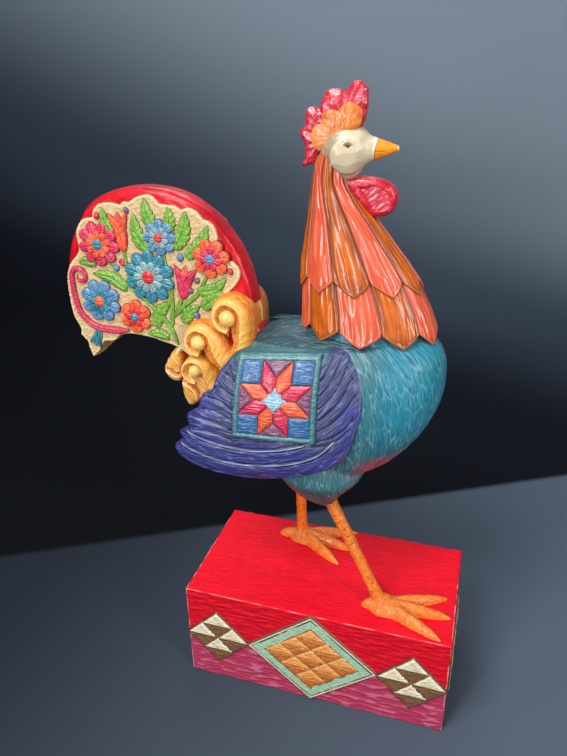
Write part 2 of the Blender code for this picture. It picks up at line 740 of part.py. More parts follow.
def zigzag(name, tip_height):
    """A cutter whose top edge falls to a point under the middle of each feather."""
    middle, half_length, half_width = neck_section(tip_height)
    bottom = -0.25 * NECK_HEIGHT
    valley = tip_height + FEATHER_POINT_DEPTH
    outer, top, inner = [], [], []
    for k, angle in enumerate(turns(2 * FEATHER_COLUMNS)):
        height = valley if k % 2 == 0 else tip_height
        for ring, scale, z in ((outer, 2.2, bottom), (top, 2.2, height), (inner, 0.04, height)):
            x, y = middle + half_length * scale * math.cos(angle), half_width * scale * math.sin(angle)
            ring.append(Vector((x, y, NECK_FOOT.z + z)))
    foot = [Vector((middle, 0, NECK_FOOT.z + bottom))]
    peak = [Vector((middle, 0, NECK_FOOT.z + (tip_height + valley) / 2))]
    return loft(name, [foot, outer, top, inner, peak], None, BIRD, CUTTERS)


def make_neck(body, head):
    """The core of the neck and two capes of feathers round it, each ending in a row of points."""
    top = 1.06 * NECK_HEIGHT
    bottom = -0.10 * NECK_HEIGHT
    heights = [bottom, *(NECK_HEIGHT * share for share in (0.0, 0.2, 0.36, 0.52, 0.69, 0.83, 1.0)), top]
    core = loft("neck_core", [neck_ring(h, -(CAPE_THICKNESS + GAP), 2) for h in heights], AMBER, BIRD)
    lower_top = UPPER_TIP_HEIGHT + CAPE_OVERLAP
    steps = 4
    heights = [bottom + (lower_top - bottom) * k / steps for k in range(steps + 1)]
    lower = loft("hackle_lower", [neck_ring(h, 0, 4, FEATHER_GROOVE) for h in heights], CORAL, BIRD)
    proud_until = lower_top + CAPE_STEP * 2
    flush_from = 0.72 * NECK_HEIGHT
    shared = [NECK_HEIGHT * share for share in (0.72, 0.85, 1.0)]
    heights = [UPPER_TIP_HEIGHT - 0.006, proud_until, *shared, top]
    rings = []
    for h in heights:
        proud = CAPE_STEP * max(0.0, min(1.0, (flush_from - h) / (flush_from - proud_until)))
        rings.append(neck_ring(h, proud, 4, FEATHER_GROOVE))
    upper = loft("hackle_upper", rings, AMBER, BIRD)
    carve(upper, grown(core), grown(lower), grown(head), zigzag("upper_points", UPPER_TIP_HEIGHT))
    carve(lower, grown(core), grown(body), zigzag("lower_points", LOWER_TIP_HEIGHT))
    seat(core, body, head)
    return core, upper


def make_dowel(name, radius, start, end, hosts):
    """A dowel with its blind hole in the pieces that it joins."""
    start, end = BIRD @ Vector(start), BIRD @ Vector(end)
    spare = (end - start).normalized() * GAP
    round_bar(name, radius, start, end, WOOD, PARTS, 12)
    hole = round_bar(name + "_hole", radius + HOLE_CLEARANCE, start - spare, end + spare, None, CUTTERS, 12)
    for host in hosts:
        cut(host, hole)


# Head

SNOUT_LIFT = 0.0018  # the root of the beak over the head's middle


def head_ring(x, half_height, half_width, lift):
    centre = HEAD_CENTRE + Vector((x, 0, lift))
    tilt = 0.18 * max(0.0, x / HEAD_SNOUT)
    reach = Vector((half_height * tilt, 0, half_height))
    return ring_between(centre + reach, centre - reach, half_width, 2, 20)


def make_head():
    rings = [[HEAD_CENTRE - Vector((HEAD_RADIUS, 0, 0))]]
    last = 0.66
    for share in (-0.92, -0.7, -0.38, 0.0, 0.35, last):
        half = HEAD_RADIUS * super_curve(share, 2)
        rings.append(head_ring(HEAD_RADIUS * share, half, half * HEAD_WIDTH / 2 / HEAD_RADIUS, 0))
    half = (HEAD_RADIUS * super_curve(last, 2) + BEAK_RADIUS) / 2
    rings.append(head_ring((last * HEAD_RADIUS + HEAD_SNOUT) / 2, half, half * 0.93, SNOUT_LIFT / 2))
    rings.append(head_ring(HEAD_SNOUT, BEAK_RADIUS, BEAK_RADIUS, SNOUT_LIFT))
    return loft("head", rings, IVORY, BIRD)


def make_beak():
    # share of the beak's length, of its taper and of its droop
    sections = ((0.0, 1.0, 0.0), (0.3, 0.8, 0.2), (0.65, 0.48, 0.3), (0.92, 0.21, 0.8), (1.0, 0.1, 1.0))
    rings = []
    for share, size, droop in sections:
        half = BEAK_TIP_RADIUS + (BEAK_RADIUS - BEAK_TIP_RADIUS) * size
        x = HEAD_SNOUT + GAP + BEAK_LENGTH * share
        centre = HEAD_CENTRE + Vector((x, 0, SNOUT_LIFT - 0.001 * droop))
        reach = Vector((half * 0.18 * (1 - share), 0, half))
        rings.append(ring_between(centre + reach, centre - reach, half * 0.85, 2, 16))
    loft("beak", rings, BEAK_ORANGE, BIRD)


def make_comb(head, neck_pieces):
    drawn = fitted(COMB_DRAWN, COMB_LENGTH, COMB_HEIGHT, COMB_HELD, on_head(COMB_HELD))
    comb = plate("comb", smooth(drawn, 2, COMB_SHARP), COMB_THICKNESS, COMB_ROUND, 0, CRIMSON, BIRD)
    return seat(comb, head, *neck_pieces)


def make_crests(head, comb):
    drawn = fitted(CREST_DRAWN, CREST_LENGTH, CREST_HEIGHT, CREST_HELD, on_head(CREST_HELD))
    outline = smooth(drawn, 2, CREST_SHARP)
    for side, way in SIDES.items():
        y = way * (COMB_THICKNESS / 2 + GAP + CREST_THICKNESS / 2)
        crest = plate("crest_" + side, outline, CREST_THICKNESS, CREST_ROUND, y, CREST_ORANGE, BIRD)
        seat(crest, head, comb)


def make_wattle(head, neck_pieces):
    """The wattle, with a shallow field carved into both its faces."""
    size, place = (WATTLE_LENGTH, WATTLE_HEIGHT), on_head(WATTLE_HELD)
    drawn = fitted(WATTLE_DRAWN, *size, WATTLE_HELD, place)
    field = smooth(fitted(WATTLE_FIELD_DRAWN, *size, WATTLE_HELD, place, WATTLE_DRAWN), 2)
    wattle = plate("wattle", smooth(drawn, 2), WATTLE_THICKNESS, WATTLE_ROUND, 0, CRIMSON, BIRD)
    for side, way in SIDES.items():
        y = way * WATTLE_THICKNESS / 2
        cut(wattle, plate("wattle_field_" + side, field, 2 * WATTLE_RECESS, 0, y, None, BIRD, CUTTERS))
    return seat(wattle, head, *neck_pieces)


def make_eyes(head):
    offset = Vector((0.185 * HEAD_RADIUS, 0, 0.302 * HEAD_RADIUS))
    surface = HEAD_WIDTH / 2 * super_curve(offset.length / HEAD_RADIUS, 2)
    for side, way in SIDES.items():
        centre = BIRD @ (HEAD_CENTRE + offset + Vector((0, way * (surface + EYE_PROUD - EYE_RADIUS), 0)))
        ball("eye_" + side, EYE_RADIUS, centre, BLACK)
        cut(head, ball("eye_socket_" + side, EYE_RADIUS + GAP, centre, None, CUTTERS))


# Wings

def wing_reach(x, z):
    """How far from the bird's middle the wing's outer face lies."""
    tall = (BODY_RISE + BODY_DROP) / 2
    t = (z - (BODY_LIFT - (BODY_DROP - BODY_RISE) / 2 - 0.0135)) / (tall + 0.0185)
    ahead = max(0.0, x - WING_PLACE.x) / WING_LENGTH
    behind = max(0.0, WING_PLACE.x - x) / WING_LENGTH
    lean = 1 - 0.234 * ahead**1.5 - 0.03 * behind
    return (BODY_WIDTH / 2 + WING_STANDOFF) * lean * super_curve(min(abs(t), 0.97), 2.2)


def make_wing(side, body):
    way = SIDES[side]
    outline = smooth(fitted(WING_DRAWN, WING_LENGTH, WING_HEIGHT, WING_HELD, WING_PLACE), 2, WING_SHARP)
    middle = Vector((WING_PLACE.x, WING_PLACE.z))
    # share of the outline, and how deep the skin lies under the outer face there
    skins = (
        (0.0, 0.0), (0.5, 0.0), (0.88, 0.0005), (0.97, 0.0022), (1.0, 0.6 * WING_RIM), (0.985, WING_RIM),
        (0.62, WING_PAD), (0.0, WING_PAD),
    )
    rings = []
    for share, depth in skins:
        ring = []
        for point in outline if share else outline[:1]:
            x, z = middle + (point - middle) * share
            ring.append(Vector((x, way * (wing_reach(x, z) - depth), z)))
        rings.append(ring)
    return seat(loft("wing_" + side, rings, INDIGO, BIRD), body)


def make_panel(side):
    """The raised patchwork square, bent to the wing's face, with a border round a lower field."""
    way = SIDES[side]
    size = (WING_LENGTH, WING_HEIGHT, WING_HELD, WING_PLACE, WING_DRAWN)
    corners = [Vector(point) for point in fitted(PANEL_CORNERS_DRAWN, *size)]
    border = PANEL_BORDER_WIDTH / (corners[1] - corners[0]).length
    step = 0.02
    stops = (0.0, border, border + step, 0.3, 0.5, 0.7, 1 - border - step, 1 - border, 1.0)
    last = len(stops) - 1
    shape = bmesh.new()

    def lay(lift_of):
        """A sheet of points over the square, each lifted from the wing's face."""
        rows = []
        for i, across in enumerate(stops):
            top, bottom = corners[0].lerp(corners[1], across), corners[3].lerp(corners[2], across)
            row = []
            for j, down in enumerate(stops):
                x, z = top.lerp(bottom, down)
                row.append(shape.verts.new((x, way * (wing_reach(x, z) + lift_of(i, j)), z)))
            rows.append(row)
        return rows

    def front_lift(i, j):
        return PANEL_LIFT if 1 < i < last - 1 and 1 < j < last - 1 else PANEL_BORDER_LIFT

    back, front = lay(lambda i, j: GAP), lay(front_lift)
    for rows in (back, front):
        for i in range(last):
            for j in range(last):
                shape.faces.new((rows[i][j], rows[i + 1][j], rows[i + 1][j + 1], rows[i][j + 1]))
    walk = [(i, 0) for i in range(last)] + [(last, j) for j in range(last)]
    walk += [(last - i, last) for i in range(last)] + [(0, last - j) for j in range(last)]
    for (i, j), (k, m) in zip(walk, walk[1:] + walk[:1]):
        shape.faces.new((back[i][j], back[k][m], front[k][m], front[i][j]))
    from_bmesh("wing_panel_" + side, shape, PLUM, BIRD, PARTS, smooth=True)


# Tail

def make_tail(body):
    tail = plate("tail", smooth(on_tail(TAIL_DRAWN), 2, TAIL_SHARP), TAIL_THICKNESS, TAIL_ROUND, 0, RED, BIRD)
    return seat(tail, body)


def make_tail_panels(body):
    """Thin raised panels on the tail's two faces, scalloped along the arch."""
    steps = 3
    outline = smooth(on_tail(TAIL_DRAWN), steps, TAIL_SHARP)
    first, last = TAIL_ARCH
    flush = TAIL_PANEL_THICKNESS
    edge = []
    for k, here in enumerate(outline):
        along = outline[(k + 1) % len(outline)] - outline[k - 1]
        run = (k / steps - first) / (last - first)
        inset = flush
        if 0 < run < 1:
            swing = abs(math.sin(math.pi * SCALLOPS * run))
            fade = min(1.0, 8 * (1 - run))
            inset = flush + (TAIL_PANEL_MARGIN + SCALLOP_DEPTH * (1 - swing) - flush) * fade
        edge.append(here + Vector((-along.y, along.x)).normalized() * inset)
    panels = {}
    for side, way in SIDES.items():
        y = way * (TAIL_THICKNESS / 2 + GAP + TAIL_PANEL_THICKNESS / 2)
        panels[side] = seat(plate("tail_panel_" + side, edge, TAIL_PANEL_THICKNESS, 0, y, CREAM, BIRD), body)
    return panels


# Curls

def make_scroll(level, side):
    """A scroll: a ridge runs up from its tail and winds round a pearl, with a channel inside it."""
    middle, size, reaches, bands, tail_run = SCROLLS_DRAWN[level]
    name, way = f"curl_{level}_{side}", SIDES[side]
    centre = Vector(on_tail([middle])[0])
    base, crest = 2 * GAP, CURL_HEIGHT - (1 - size) * CURL_HEIGHT / 2
    path = [Vector(point) * MM for point in reversed(tail_run)]
    channels = [CURL_REACH * reaches[0] * share for share in (0.4, 0.6, 0.8)]
    winds, wind_angle = 8, 34
    for turn in range(winds + 1):
        quarter, rest = divmod(wind_angle * turn / 90, 1)
        here, there = (reaches[int(quarter + step) % 4] for step in (0, 1))
        reach = CURL_REACH * (here + (there - here) * rest)
        angle = math.radians(wind_angle * turn)
        path.append(Vector((math.cos(angle), math.sin(angle))) * reach)
        channels.append(0.86 * reach)
    rings = []
    for k, here in enumerate(path):
        ahead = path[min(k + 1, len(path) - 1)] - path[max(k - 1, 0)]
        outward = Vector((ahead.y, -ahead.x)).normalized()
        share = k / (len(path) - 1)
        channel = channels[k]
        bank = CURL_REACH * (bands[0] + (bands[1] - bands[0]) * min(1.0, share / 0.7))
        floor = crest - CURL_CHANNEL_DEPTH * size
        section = (
            (-channel, base), (-channel, floor - 0.0017), (-0.0014, floor), (-0.0004, crest - 0.0004),
            (0.0005, crest), (bank * 0.6, crest - 0.0028), (bank, crest - 0.008), (bank, base),
        )
        ring = []
        for across, height in section:
            spot = centre + here + outward * across
            ring.append(Vector((spot.x, way * height, spot.y)))
        rings.append(ring)
    scroll = loft(name, rings, CURL_GOLD, BIRD)
    pearl = PEARL_RADIUS * size

    def at(height):
        return BIRD @ Vector((centre.x, way * height, centre.y))

    hub_top = at(crest - 1.2 * CURL_CHANNEL_DEPTH * size)
    hub = round_bar(name + "_hub", 1.3 * pearl, at(base - GAP / 2), hub_top, None, CUTTERS, 12)
    return join(scroll, hub, ball(name + "_pearl", pearl, at(crest - 0.75 * pearl), None, CUTTERS))


def make_curls(tail, body, panels):
    rolls = []
    for side, way in SIDES.items():
        made = []
        for level in SCROLLS_DRAWN:
            made.append(seat(make_scroll(level, side), body, tail, panels[side], *made))
        outline = smooth(on_tail(BOTTOM_CURL_DRAWN), 2)
        y = way * (BOTTOM_CURL_DEPTH / 2 + GAP)
        bottom = plate("curl_bottom_" + side, outline, BOTTOM_CURL_DEPTH, ROLL_ROUND, y, CURL_GOLD, BIRD)
        rolls += made + [seat(bottom, body, tail, panels[side], *made)]
    outline = smooth(on_tail(REAR_CURL_DRAWN), 2)
    rear = plate("curl_rear", outline, REAR_CURL_DEPTH, ROLL_ROUND, 0, CURL_GOLD, BIRD)
    seat(rear, tail, *panels.values(), *rolls)


# Assembly

def make_dowels(body, core, head, tail, wings):
    foot = NECK_FOOT + Vector((-0.004, 0, 0.011 - NECK_DOWEL_LENGTH / 2))
    make_dowel("neck_dowel", NECK_DOWEL_RADIUS, foot, foot + Vector((0, 0, NECK_DOWEL_LENGTH)), (body, core))
    joint = HEAD_CENTRE - Vector((0.53 * HEAD_RADIUS, 0, HEAD_RADIUS))
    half = Vector((0, 0, HEAD_DOWEL_LENGTH / 2))
    make_dowel("head_dowel", HEAD_DOWEL_RADIUS, joint - half, joint + half, (core, head))
    joint = TAIL_DOWEL_MIDDLE
    half = Vector((TAIL_DOWEL_LENGTH / 2, 0, 0))
    make_dowel("tail_dowel", TAIL_DOWEL_RADIUS, joint - half, joint + half, (body, tail))
    for side, way in SIDES.items():
        inner, outer = (
            Vector((WING_PEG_X, way * (BODY_WIDTH / 2 + reach), WING_PEG_Z))
            for reach in (-WING_PEG_IN_BODY, WING_PEG_IN_WING)
        )
        make_dowel("wing_peg_" + side, WING_PEG_RADIUS, inner, outer, (body, wings[side]))


def main():
    make_block()
    make_tiles()
    body = make_body()
    head = make_head()
    core, upper = make_neck(body, head)
    make_beak()
    comb = make_comb(head, (core, upper))
    make_crests(head, comb)
    make_wattle(head, (core, upper))
    wings = {side: make_wing(side, body) for side in SIDES}
    for side in SIDES:
        make_panel(side)
    tail = make_tail(body)
    panels = make_tail_panels(body)
    make_curls(tail, body, panels)
    for side in SIDES:
        foot = make_foot(side)
        leg = make_leg(side, body, foot)
        make_rod(side)
        for host in (body, leg, foot):
            cut(host, rod_hole(side))
    make_eyes(head)
    make_dowels(body, core, head, tail, wings)


main()
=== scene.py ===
"""Looks of the rooster figurine: carved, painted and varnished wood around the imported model.

Metres, in the frame of the model: +X is where the beak points, +Y the bird's left and +Z up. The
bird is built in its own frame, whose origin lies on the top of the block. Outlines on its sides
are written in millimetres in that frame, as (x, z).
"""

import math

import bmesh
import bpy
import numpy as np
from mathutils import Matrix, Vector


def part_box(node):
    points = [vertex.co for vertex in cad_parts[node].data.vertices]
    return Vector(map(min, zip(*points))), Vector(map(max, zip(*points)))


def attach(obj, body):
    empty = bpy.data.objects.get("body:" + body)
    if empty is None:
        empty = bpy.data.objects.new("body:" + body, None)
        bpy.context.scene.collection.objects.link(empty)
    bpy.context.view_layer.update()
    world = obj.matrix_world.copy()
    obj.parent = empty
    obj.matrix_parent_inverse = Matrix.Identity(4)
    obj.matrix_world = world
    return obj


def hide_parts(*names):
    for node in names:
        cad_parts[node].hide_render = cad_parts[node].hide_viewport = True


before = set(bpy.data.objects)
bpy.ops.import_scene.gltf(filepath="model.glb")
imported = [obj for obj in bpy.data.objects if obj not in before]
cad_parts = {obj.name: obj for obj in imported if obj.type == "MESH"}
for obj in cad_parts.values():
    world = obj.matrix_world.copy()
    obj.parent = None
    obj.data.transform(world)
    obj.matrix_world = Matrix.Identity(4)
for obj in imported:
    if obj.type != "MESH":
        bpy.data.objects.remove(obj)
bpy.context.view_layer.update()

MM = 0.001
SIDES = {"right": -1, "left": 1}

# Sizes of the construction

BLOCK_LOW, BLOCK_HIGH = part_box("plinth_block")
BLOCK_LENGTH, BLOCK_DEPTH, BLOCK_HEIGHT = BLOCK_HIGH - BLOCK_LOW
BIRD = Vector((0, 0.003, BLOCK_HIGH.z))
GAP = 0.0003

BODY_X = 0.0027
BODY_LENGTH = 0.1454
BODY_WIDTH = 0.088
BODY_LIFT = 0.171
BODY_RISE = 0.038
BODY_DROP = 0.077
RUMP_DROP = 0.003
BELLY_Z = BODY_LIFT - BODY_DROP
THIGH_TIP_RADIUS = 0.009
THIGH_SPAN = 0.062
THIGH_WIDTH = 0.042
# share of the way up, half length, half width and how far the section has turned level
THIGH_SECTIONS = (
    (-0.02, 0.3 * THIGH_TIP_RADIUS, 0.3 * THIGH_TIP_RADIUS, 0.0),
    (0.0, THIGH_TIP_RADIUS - 0.0015, THIGH_TIP_RADIUS - 0.0015, 0.0),
    (0.05, THIGH_TIP_RADIUS, THIGH_TIP_RADIUS, 0.05),
    (0.38, 0.37 * THIGH_SPAN, 0.40 * THIGH_WIDTH, 0.55),
    (0.75, THIGH_SPAN / 2, THIGH_WIDTH / 2, 0.9),
    (1.15, 0.45 * THIGH_SPAN, 0.46 * THIGH_WIDTH, 1.0),
)
HUBS = {"right": Vector((0.0485, -0.0315, 0)), "left": Vector((-0.0305, 0.0303, 0))}
THIGH_TIPS = {
    "right": Vector((BODY_X + 0.017 * BODY_LENGTH, -0.27 * BODY_WIDTH, BELLY_Z - 0.0125)),
    "left": Vector((BODY_X - 0.234 * BODY_LENGTH, 0.28 * BODY_WIDTH, BELLY_Z - 0.0125)),
}
HIPS = {
    "right": Vector((BODY_X - 0.069 * BODY_LENGTH, -0.24 * BODY_WIDTH, BELLY_Z + 0.019)),
    "left": Vector((BODY_X - 0.179 * BODY_LENGTH, 0.24 * BODY_WIDTH, BELLY_Z + 0.019)),
}
LEG_RADIUS = 0.0043
TOE_WIDTH = 0.0095
TOE_HEIGHT = 0.0075
HUB_RADIUS = 0.0115
HUB_HEIGHT = 0.0125
# how wide and high the hub is, and along each toe and the palm its width and height
HUB_SECTIONS = (
    (0.3, -0.42), (0.85, -0.4), (0.92, 0.05), (0.8, 0.3), (0.62, 0.5), (0.48, 0.68), (0.36, 0.84),
)
TOE_SECTIONS = (
    (-0.06, 0.8, 0.95), (0.2, 1.06, 1.1), (0.52, 1.0, 0.95), (0.82, 0.68, 0.64), (0.97, 0.24, 0.26),
    (1.0, 0.1, 0.12),
)
PALM_SECTIONS = (
    (-0.26, 0.1, 0.1), (-0.24, 0.4, 0.42), (-0.1, 0.72, 0.7), (0.1, 0.92, 0.76), (0.26, 0.88, 0.66),
    (0.38, 0.66, 0.5), (0.45, 0.3, 0.3), (0.46, 0.1, 0.1),
)
# bearing in degrees and length of each toe
TOES = {
    "right": ((25, 0.0495), (2, 0.0490), (-26, 0.0485), (188, 0.0165)),
    "left": ((20, 0.0475), (-9, 0.0460), (-36, 0.0460), (184, 0.0200)),
}

NECK_FOOT = Vector((BODY_X + 0.14 * BODY_LENGTH, 0, BODY_LIFT + BODY_RISE - 0.011))
NECK_HEIGHT = 0.113
CAPE_THICKNESS = 0.003
CAPE_STEP = 0.0018
CAPE_OVERLAP = 0.016
COLUMNS = 10
POINT_DEPTH = 0.0085
LOWER_TIP_HEIGHT = 0.0035
UPPER_TIP_HEIGHT = 0.0345
# height, back, front and half width, in millimetres
NECK_DRAWN = (
    (-14, -24, 68.0, 31), (0, -22.2, 68.2, 29.5), (9, -20.8, 67.6, 28.2), (22.7, -20.4, 62.3, 25.5),
    (40.7, -20.1, 52.4, 22), (59.4, -18.9, 38.7, 18.2), (78.3, -16.9, 24.4, 14.8), (87.5, -15.7, 16.2, 13.4),
    (100, -14.2, 7.4, 12.2), (113, -12.6, 7.4, 11.2), (120, -6, 6, 9),
)
NECK_DRAWN_X = 23.1

HEAD_CENTRE = NECK_FOOT + Vector((-0.0173, 0, NECK_HEIGHT + 0.003))
HEAD_RADIUS = 0.0162
HEAD_WIDTH = 0.027
HEAD_SNOUT = 0.0174
SNOUT_LIFT = 0.0018
BEAK_LENGTH = 0.0132
BEAK_RADIUS = 0.0061
BEAK_TIP_RADIUS = 0.0009
EYE_DRAWN = (8.8, 318.9)
CHEEK_DRAWN = (7.9, 312.6)
COMB_THICKNESS = 0.009
COMB_ROUNDING = 0.0026
CREST_THICKNESS = 0.0035
CREST_ROUNDING = 0.0015
WATTLE_THICKNESS = 0.0125
WATTLE_ROUNDING = 0.0042

WING_PLACE = Vector((BODY_X - 0.225 * BODY_LENGTH, 0, BODY_LIFT - 0.016))
WING_LENGTH = 0.1299
WING_STANDOFF = 0.008
WING_RIM = 0.0075
WING_PAD = 0.018
PANEL_LIFT = 0.002
PANEL_BORDER_LIFT = 0.0028
PANEL_BORDER_WIDTH = 0.0032

TILE_HEIGHT = BLOCK_HEIGHT - 0.0012
TILE_LARGE = 0.05
TILE_SMALL = 0.0248
TILE_SMALL_X = 0.075
TILE_END = BLOCK_DEPTH / 2 - 0.0014
TILE_GROUND = 0.0012
SQUARE_STANDS = 0.0008
PATTERN_STANDS = 0.0011

TAIL_THICKNESS = 0.020
TAIL_ROUNDING = 0.0048
TAIL_PANEL_THICKNESS = 0.0014
TAIL_PANEL_ROUNDING = 0.00045

CURL_HEIGHT = 0.024
CURL_REACH = 0.010
CURL_CHANNEL_DEPTH = 0.0048
BOTTOM_CURL_DEPTH = 0.018
REAR_CURL_DEPTH = 0.027
ROLL_ROUNDING = 0.0045
PEARL_RADIUS = 0.0054

# Side outlines in millimetres, with the corners that stay sharp

COMB_DRAWN = (
    (10, 326), (14.7, 328.5), (17.2, 338), (17.7, 347.4), (13.1, 352.7), (8, 351.5), (4.4, 346.5),
    (-1, 349.1), (-6.5, 347.6), (-9, 343.2), (-10.5, 338.3), (-16.6, 339.4), (-19.7, 335),
    (-19, 330.2), (-22.3, 324.2), (-19.1, 316.2), (-21.3, 305.9), (-13.3, 306.9), (-9, 316), (0, 324),
)
COMB_SHARP = (6, 10, 13, 16, 17)
CREST_DRAWN = (
    (14.8, 329.5), (16, 335.9), (12.9, 340.4), (8.5, 341.8), (4.2, 340.2), (2.1, 337), (-3.2, 337.8),
    (-8, 335.3), (-7.9, 330.5), (-12.6, 328.4), (-14.7, 323.7), (-13.2, 317.5), (-9.3, 314.8), (2, 320),
)
CREST_SHARP = (0, 5, 8, 12)
WATTLE_DRAWN = (
    (4, 298.2), (9.5, 300.6), (16.2, 300.9), (24, 300.2), (30.2, 298.5), (35.4, 295), (37.8, 289.9),
    (36.3, 282.6), (31.9, 278.7), (26.4, 277.5), (20.8, 279.1), (10.8, 289.2),
)
WING_DRAWN = (
    (12.2, 199.5), (20.5, 194.5), (26.3, 185), (28.5, 170), (26.6, 154.5), (18.5, 130.5), (0, 115.8),
    (-33, 105.4), (-60, 102.6), (-85, 105.6), (-98.6, 113.8), (-101.4, 122.4), (-93.4, 129.6),
    (-96.6, 134.6), (-88.6, 139.4), (-90, 148.4), (-81.6, 153.8), (-78.6, 163.6), (-71.6, 168),
    (-68.6, 177.3), (-64.5, 183.8), (-53.5, 194.5), (-25, 197),
)
WING_SHARP = (12, 14, 16, 18)
PANEL_CORNERS_DRAWN = ((-52.8, 194.2), (1.1, 198.1), (0.9, 142.3), (-55.2, 139.9))
TAIL_DRAWN = (
    (-51.6, 203.6), (-52.8, 218), (-56.6, 235.5), (-63.9, 253.2), (-77, 270.8), (-93.1, 282.8),
    (-111, 289.4), (-132.5, 291), (-154, 287), (-171, 278), (-182.5, 263.5), (-190.5, 248), (-195.4, 229.8),
    (-196.1, 211), (-194.6, 198.5), (-191.1, 192.8), (-192, 186.5), (-190, 181), (-185.7, 178.6),
    (-182.6, 163.5), (-171.3, 178.1), (-164.5, 178.8), (-157.8, 184.7), (-146.6, 186.1), (-130.3, 184.7),
    (-113.5, 179.3), (-97, 169), (-80, 154), (-60, 150), (-45, 165), (-42, 190),
)
TAIL_SHARP = (0, 15, 18, 19, 20, 22, 28, 29, 30)
TAIL_PANEL_DRAWN = (
    (-182, 165.5), (-184, 171.8), (-185, 177.8), (-189.8, 183), (-189.2, 188.4), (-193.2, 196),
    (-194.6, 205), (-195, 214.3), (-194.6, 223.5), (-193, 230.9), (-190, 236.5), (-183.9, 242.9),
    (-180.8, 248.2),
    (-181.6, 254.4), (-181.3, 259.5), (-178.6, 265), (-173.8, 269.2), (-166.8, 270.2), (-165.6, 275.2),
    (-160.9, 279.4), (-152.9, 280.8), (-144.5, 279.5), (-141.8, 281.9), (-138, 281.3), (-132.4, 284.8),
    (-125.2, 286.9), (-119.4, 285.6), (-115.9, 281.4), (-110, 280.8), (-104.5, 280.3), (-100.8, 278),
    (-94.5, 279.6), (-88.4, 276.4), (-85.2, 272.6), (-80.6, 271), (-76.9, 267), (-75.5, 261.5),
    (-76.2, 254.9), (-72.8, 251.4), (-71.9, 247.5), (-65.6, 245.8), (-61.1, 240.5), (-62, 234),
    (-67.3, 227.2), (-72.5, 223.5), (-71.5, 214), (-70, 200), (-76, 180), (-88, 170.5), (-98, 172.5),
    (-109.5, 180.4), (-119.7, 183.6), (-131.8, 186.4), (-146, 187.6), (-154, 186.6), (-157.4, 185.4),
    (-162.2, 180.8), (-170.8, 179.6), (-175.8, 171.6),
)
TAIL_PANEL_SHARP = (0, 2, 3, 4, 11, 17, 21, 23, 27, 30, 33, 37, 39, 44, 48, 55, 57)
# middle, size, reach at each quarter turn, width of the outer band at both ends, and the run before the turns
SCROLLS_DRAWN = {
    "upper": (
        (-68, 209.8), 1.0, (1.0, 1.06, 0.82, 0.84), (0.9, 0.45), ((9.6, -9), (8.4, -19), (3, -34)),
    ),
    "middle": (
        (-90.9, 189.6), 0.92, (1.02, 0.98, 0.78, 0.84), (1.4, 0.3), ((12.5, -7), (17, -14), (28, -27)),
    ),
    "lower": (
        (-95.6, 166.9), 0.76, (0.74, 0.74, 0.9, 0.84), (1.3, 0.16), ((9.9, -7.9), (14, -15), (21, -25)),
    ),
}
BOTTOM_CURL_DRAWN = (
    (-107.4, 158), (-108, 151.5), (-107, 144.5), (-104.5, 139.6), (-100.8, 138), (-95, 142.4), (-87.2, 151),
    (-87.5, 158), (-93, 165), (-101, 167),
)
REAR_CURL_DRAWN = (
    (-123.3, 163.5), (-121.2, 157.2), (-115.8, 153.8), (-110.8, 155), (-109.2, 160), (-108.4, 168),
    (-108, 176), (-108, 181.5), (-113, 180), (-119.4, 172),
)
# the raised line and the groove on the face of each roll
BOTTOM_CURL_LINES = (
    ((-107, 155.8), (-102.9, 154.5), (-99.2, 152.2), (-96.7, 148.5), (-95.8, 143.0)),
    ((-104, 157.5), (-99.5, 155.4), (-95.5, 152), (-93.6, 148)),
)
REAR_CURL_LINES = (
    ((-122.5, 161.5), (-118, 160), (-114.2, 158.2), (-110.5, 158)),
    ((-122, 164.2), (-118.1, 163.2), (-115, 161), (-111, 160.4)),
)

# Carved lines on the wing, in millimetres: two long pale ridges under the patchwork square, and the
# grooves that fan out from behind it
WING_RIDGES_DRAWN = (
    (
        (-96, 127.5), (-86, 123), (-74.5, 118.9), (-58, 116.6), (-41, 118), (-24, 121.5), (-8, 127),
        (4, 134.5), (14, 146),
    ),
    ((-90, 138), (-82, 134.5), (-73, 131.8), (-60, 130), (-45, 129.6), (-30, 132), (-14, 136.5), (0, 142)),
)
WING_GROOVES_DRAWN = (
    ((-57.5, 136), (-66, 138.2), (-76, 139.6), (-87, 139.6)),
    ((-56.5, 143), (-66, 146.5), (-78, 148.6), (-89, 150)),
    ((-56, 150.5), (-66, 155.2), (-74, 156), (-82, 154.5)),
    ((-55.5, 158), (-62, 162.5), (-70, 164.6), (-78, 164.4)),
    ((-55, 167.5), (-61, 171), (-66, 172.2), (-71, 169.5)),
    ((-54, 177), (-59, 180.5), (-65, 181.5)),
    ((2, 143), (11, 147), (19, 153.5), (25.5, 162.5)),
    ((2, 150.5), (11, 157.5), (18, 165.5), (25.5, 178)),
    ((2, 158), (9, 165), (15.5, 173.5), (22.5, 189)),
    ((2, 165.5), (8, 172), (13, 180), (17.5, 193.5)),
    ((2, 174), (6.5, 180), (9.5, 186), (13, 196.5)),
    ((2, 183), (4.5, 188), (6, 193), (8, 199)),
    ((-30, 139.5), (-16, 141), (-4, 139), (6, 140.5), (16, 146.5), (23, 155)),
)


# Numbers on arrays

def ramp(x, low, high):
    """0 below low, 1 above high, and a smooth step between them."""
    t = np.clip((np.asarray(x, float) - low) / (high - low), 0, 1)
    return t * t * (3 - 2 * t)


def chance(i, j, seed):
    """A repeatable number from 0 to 1 for each cell of a grid."""
    h = np.sin(i * 127.1 + j * 311.7 + seed * 74.7) * 43758.5453
    return h - np.floor(h)


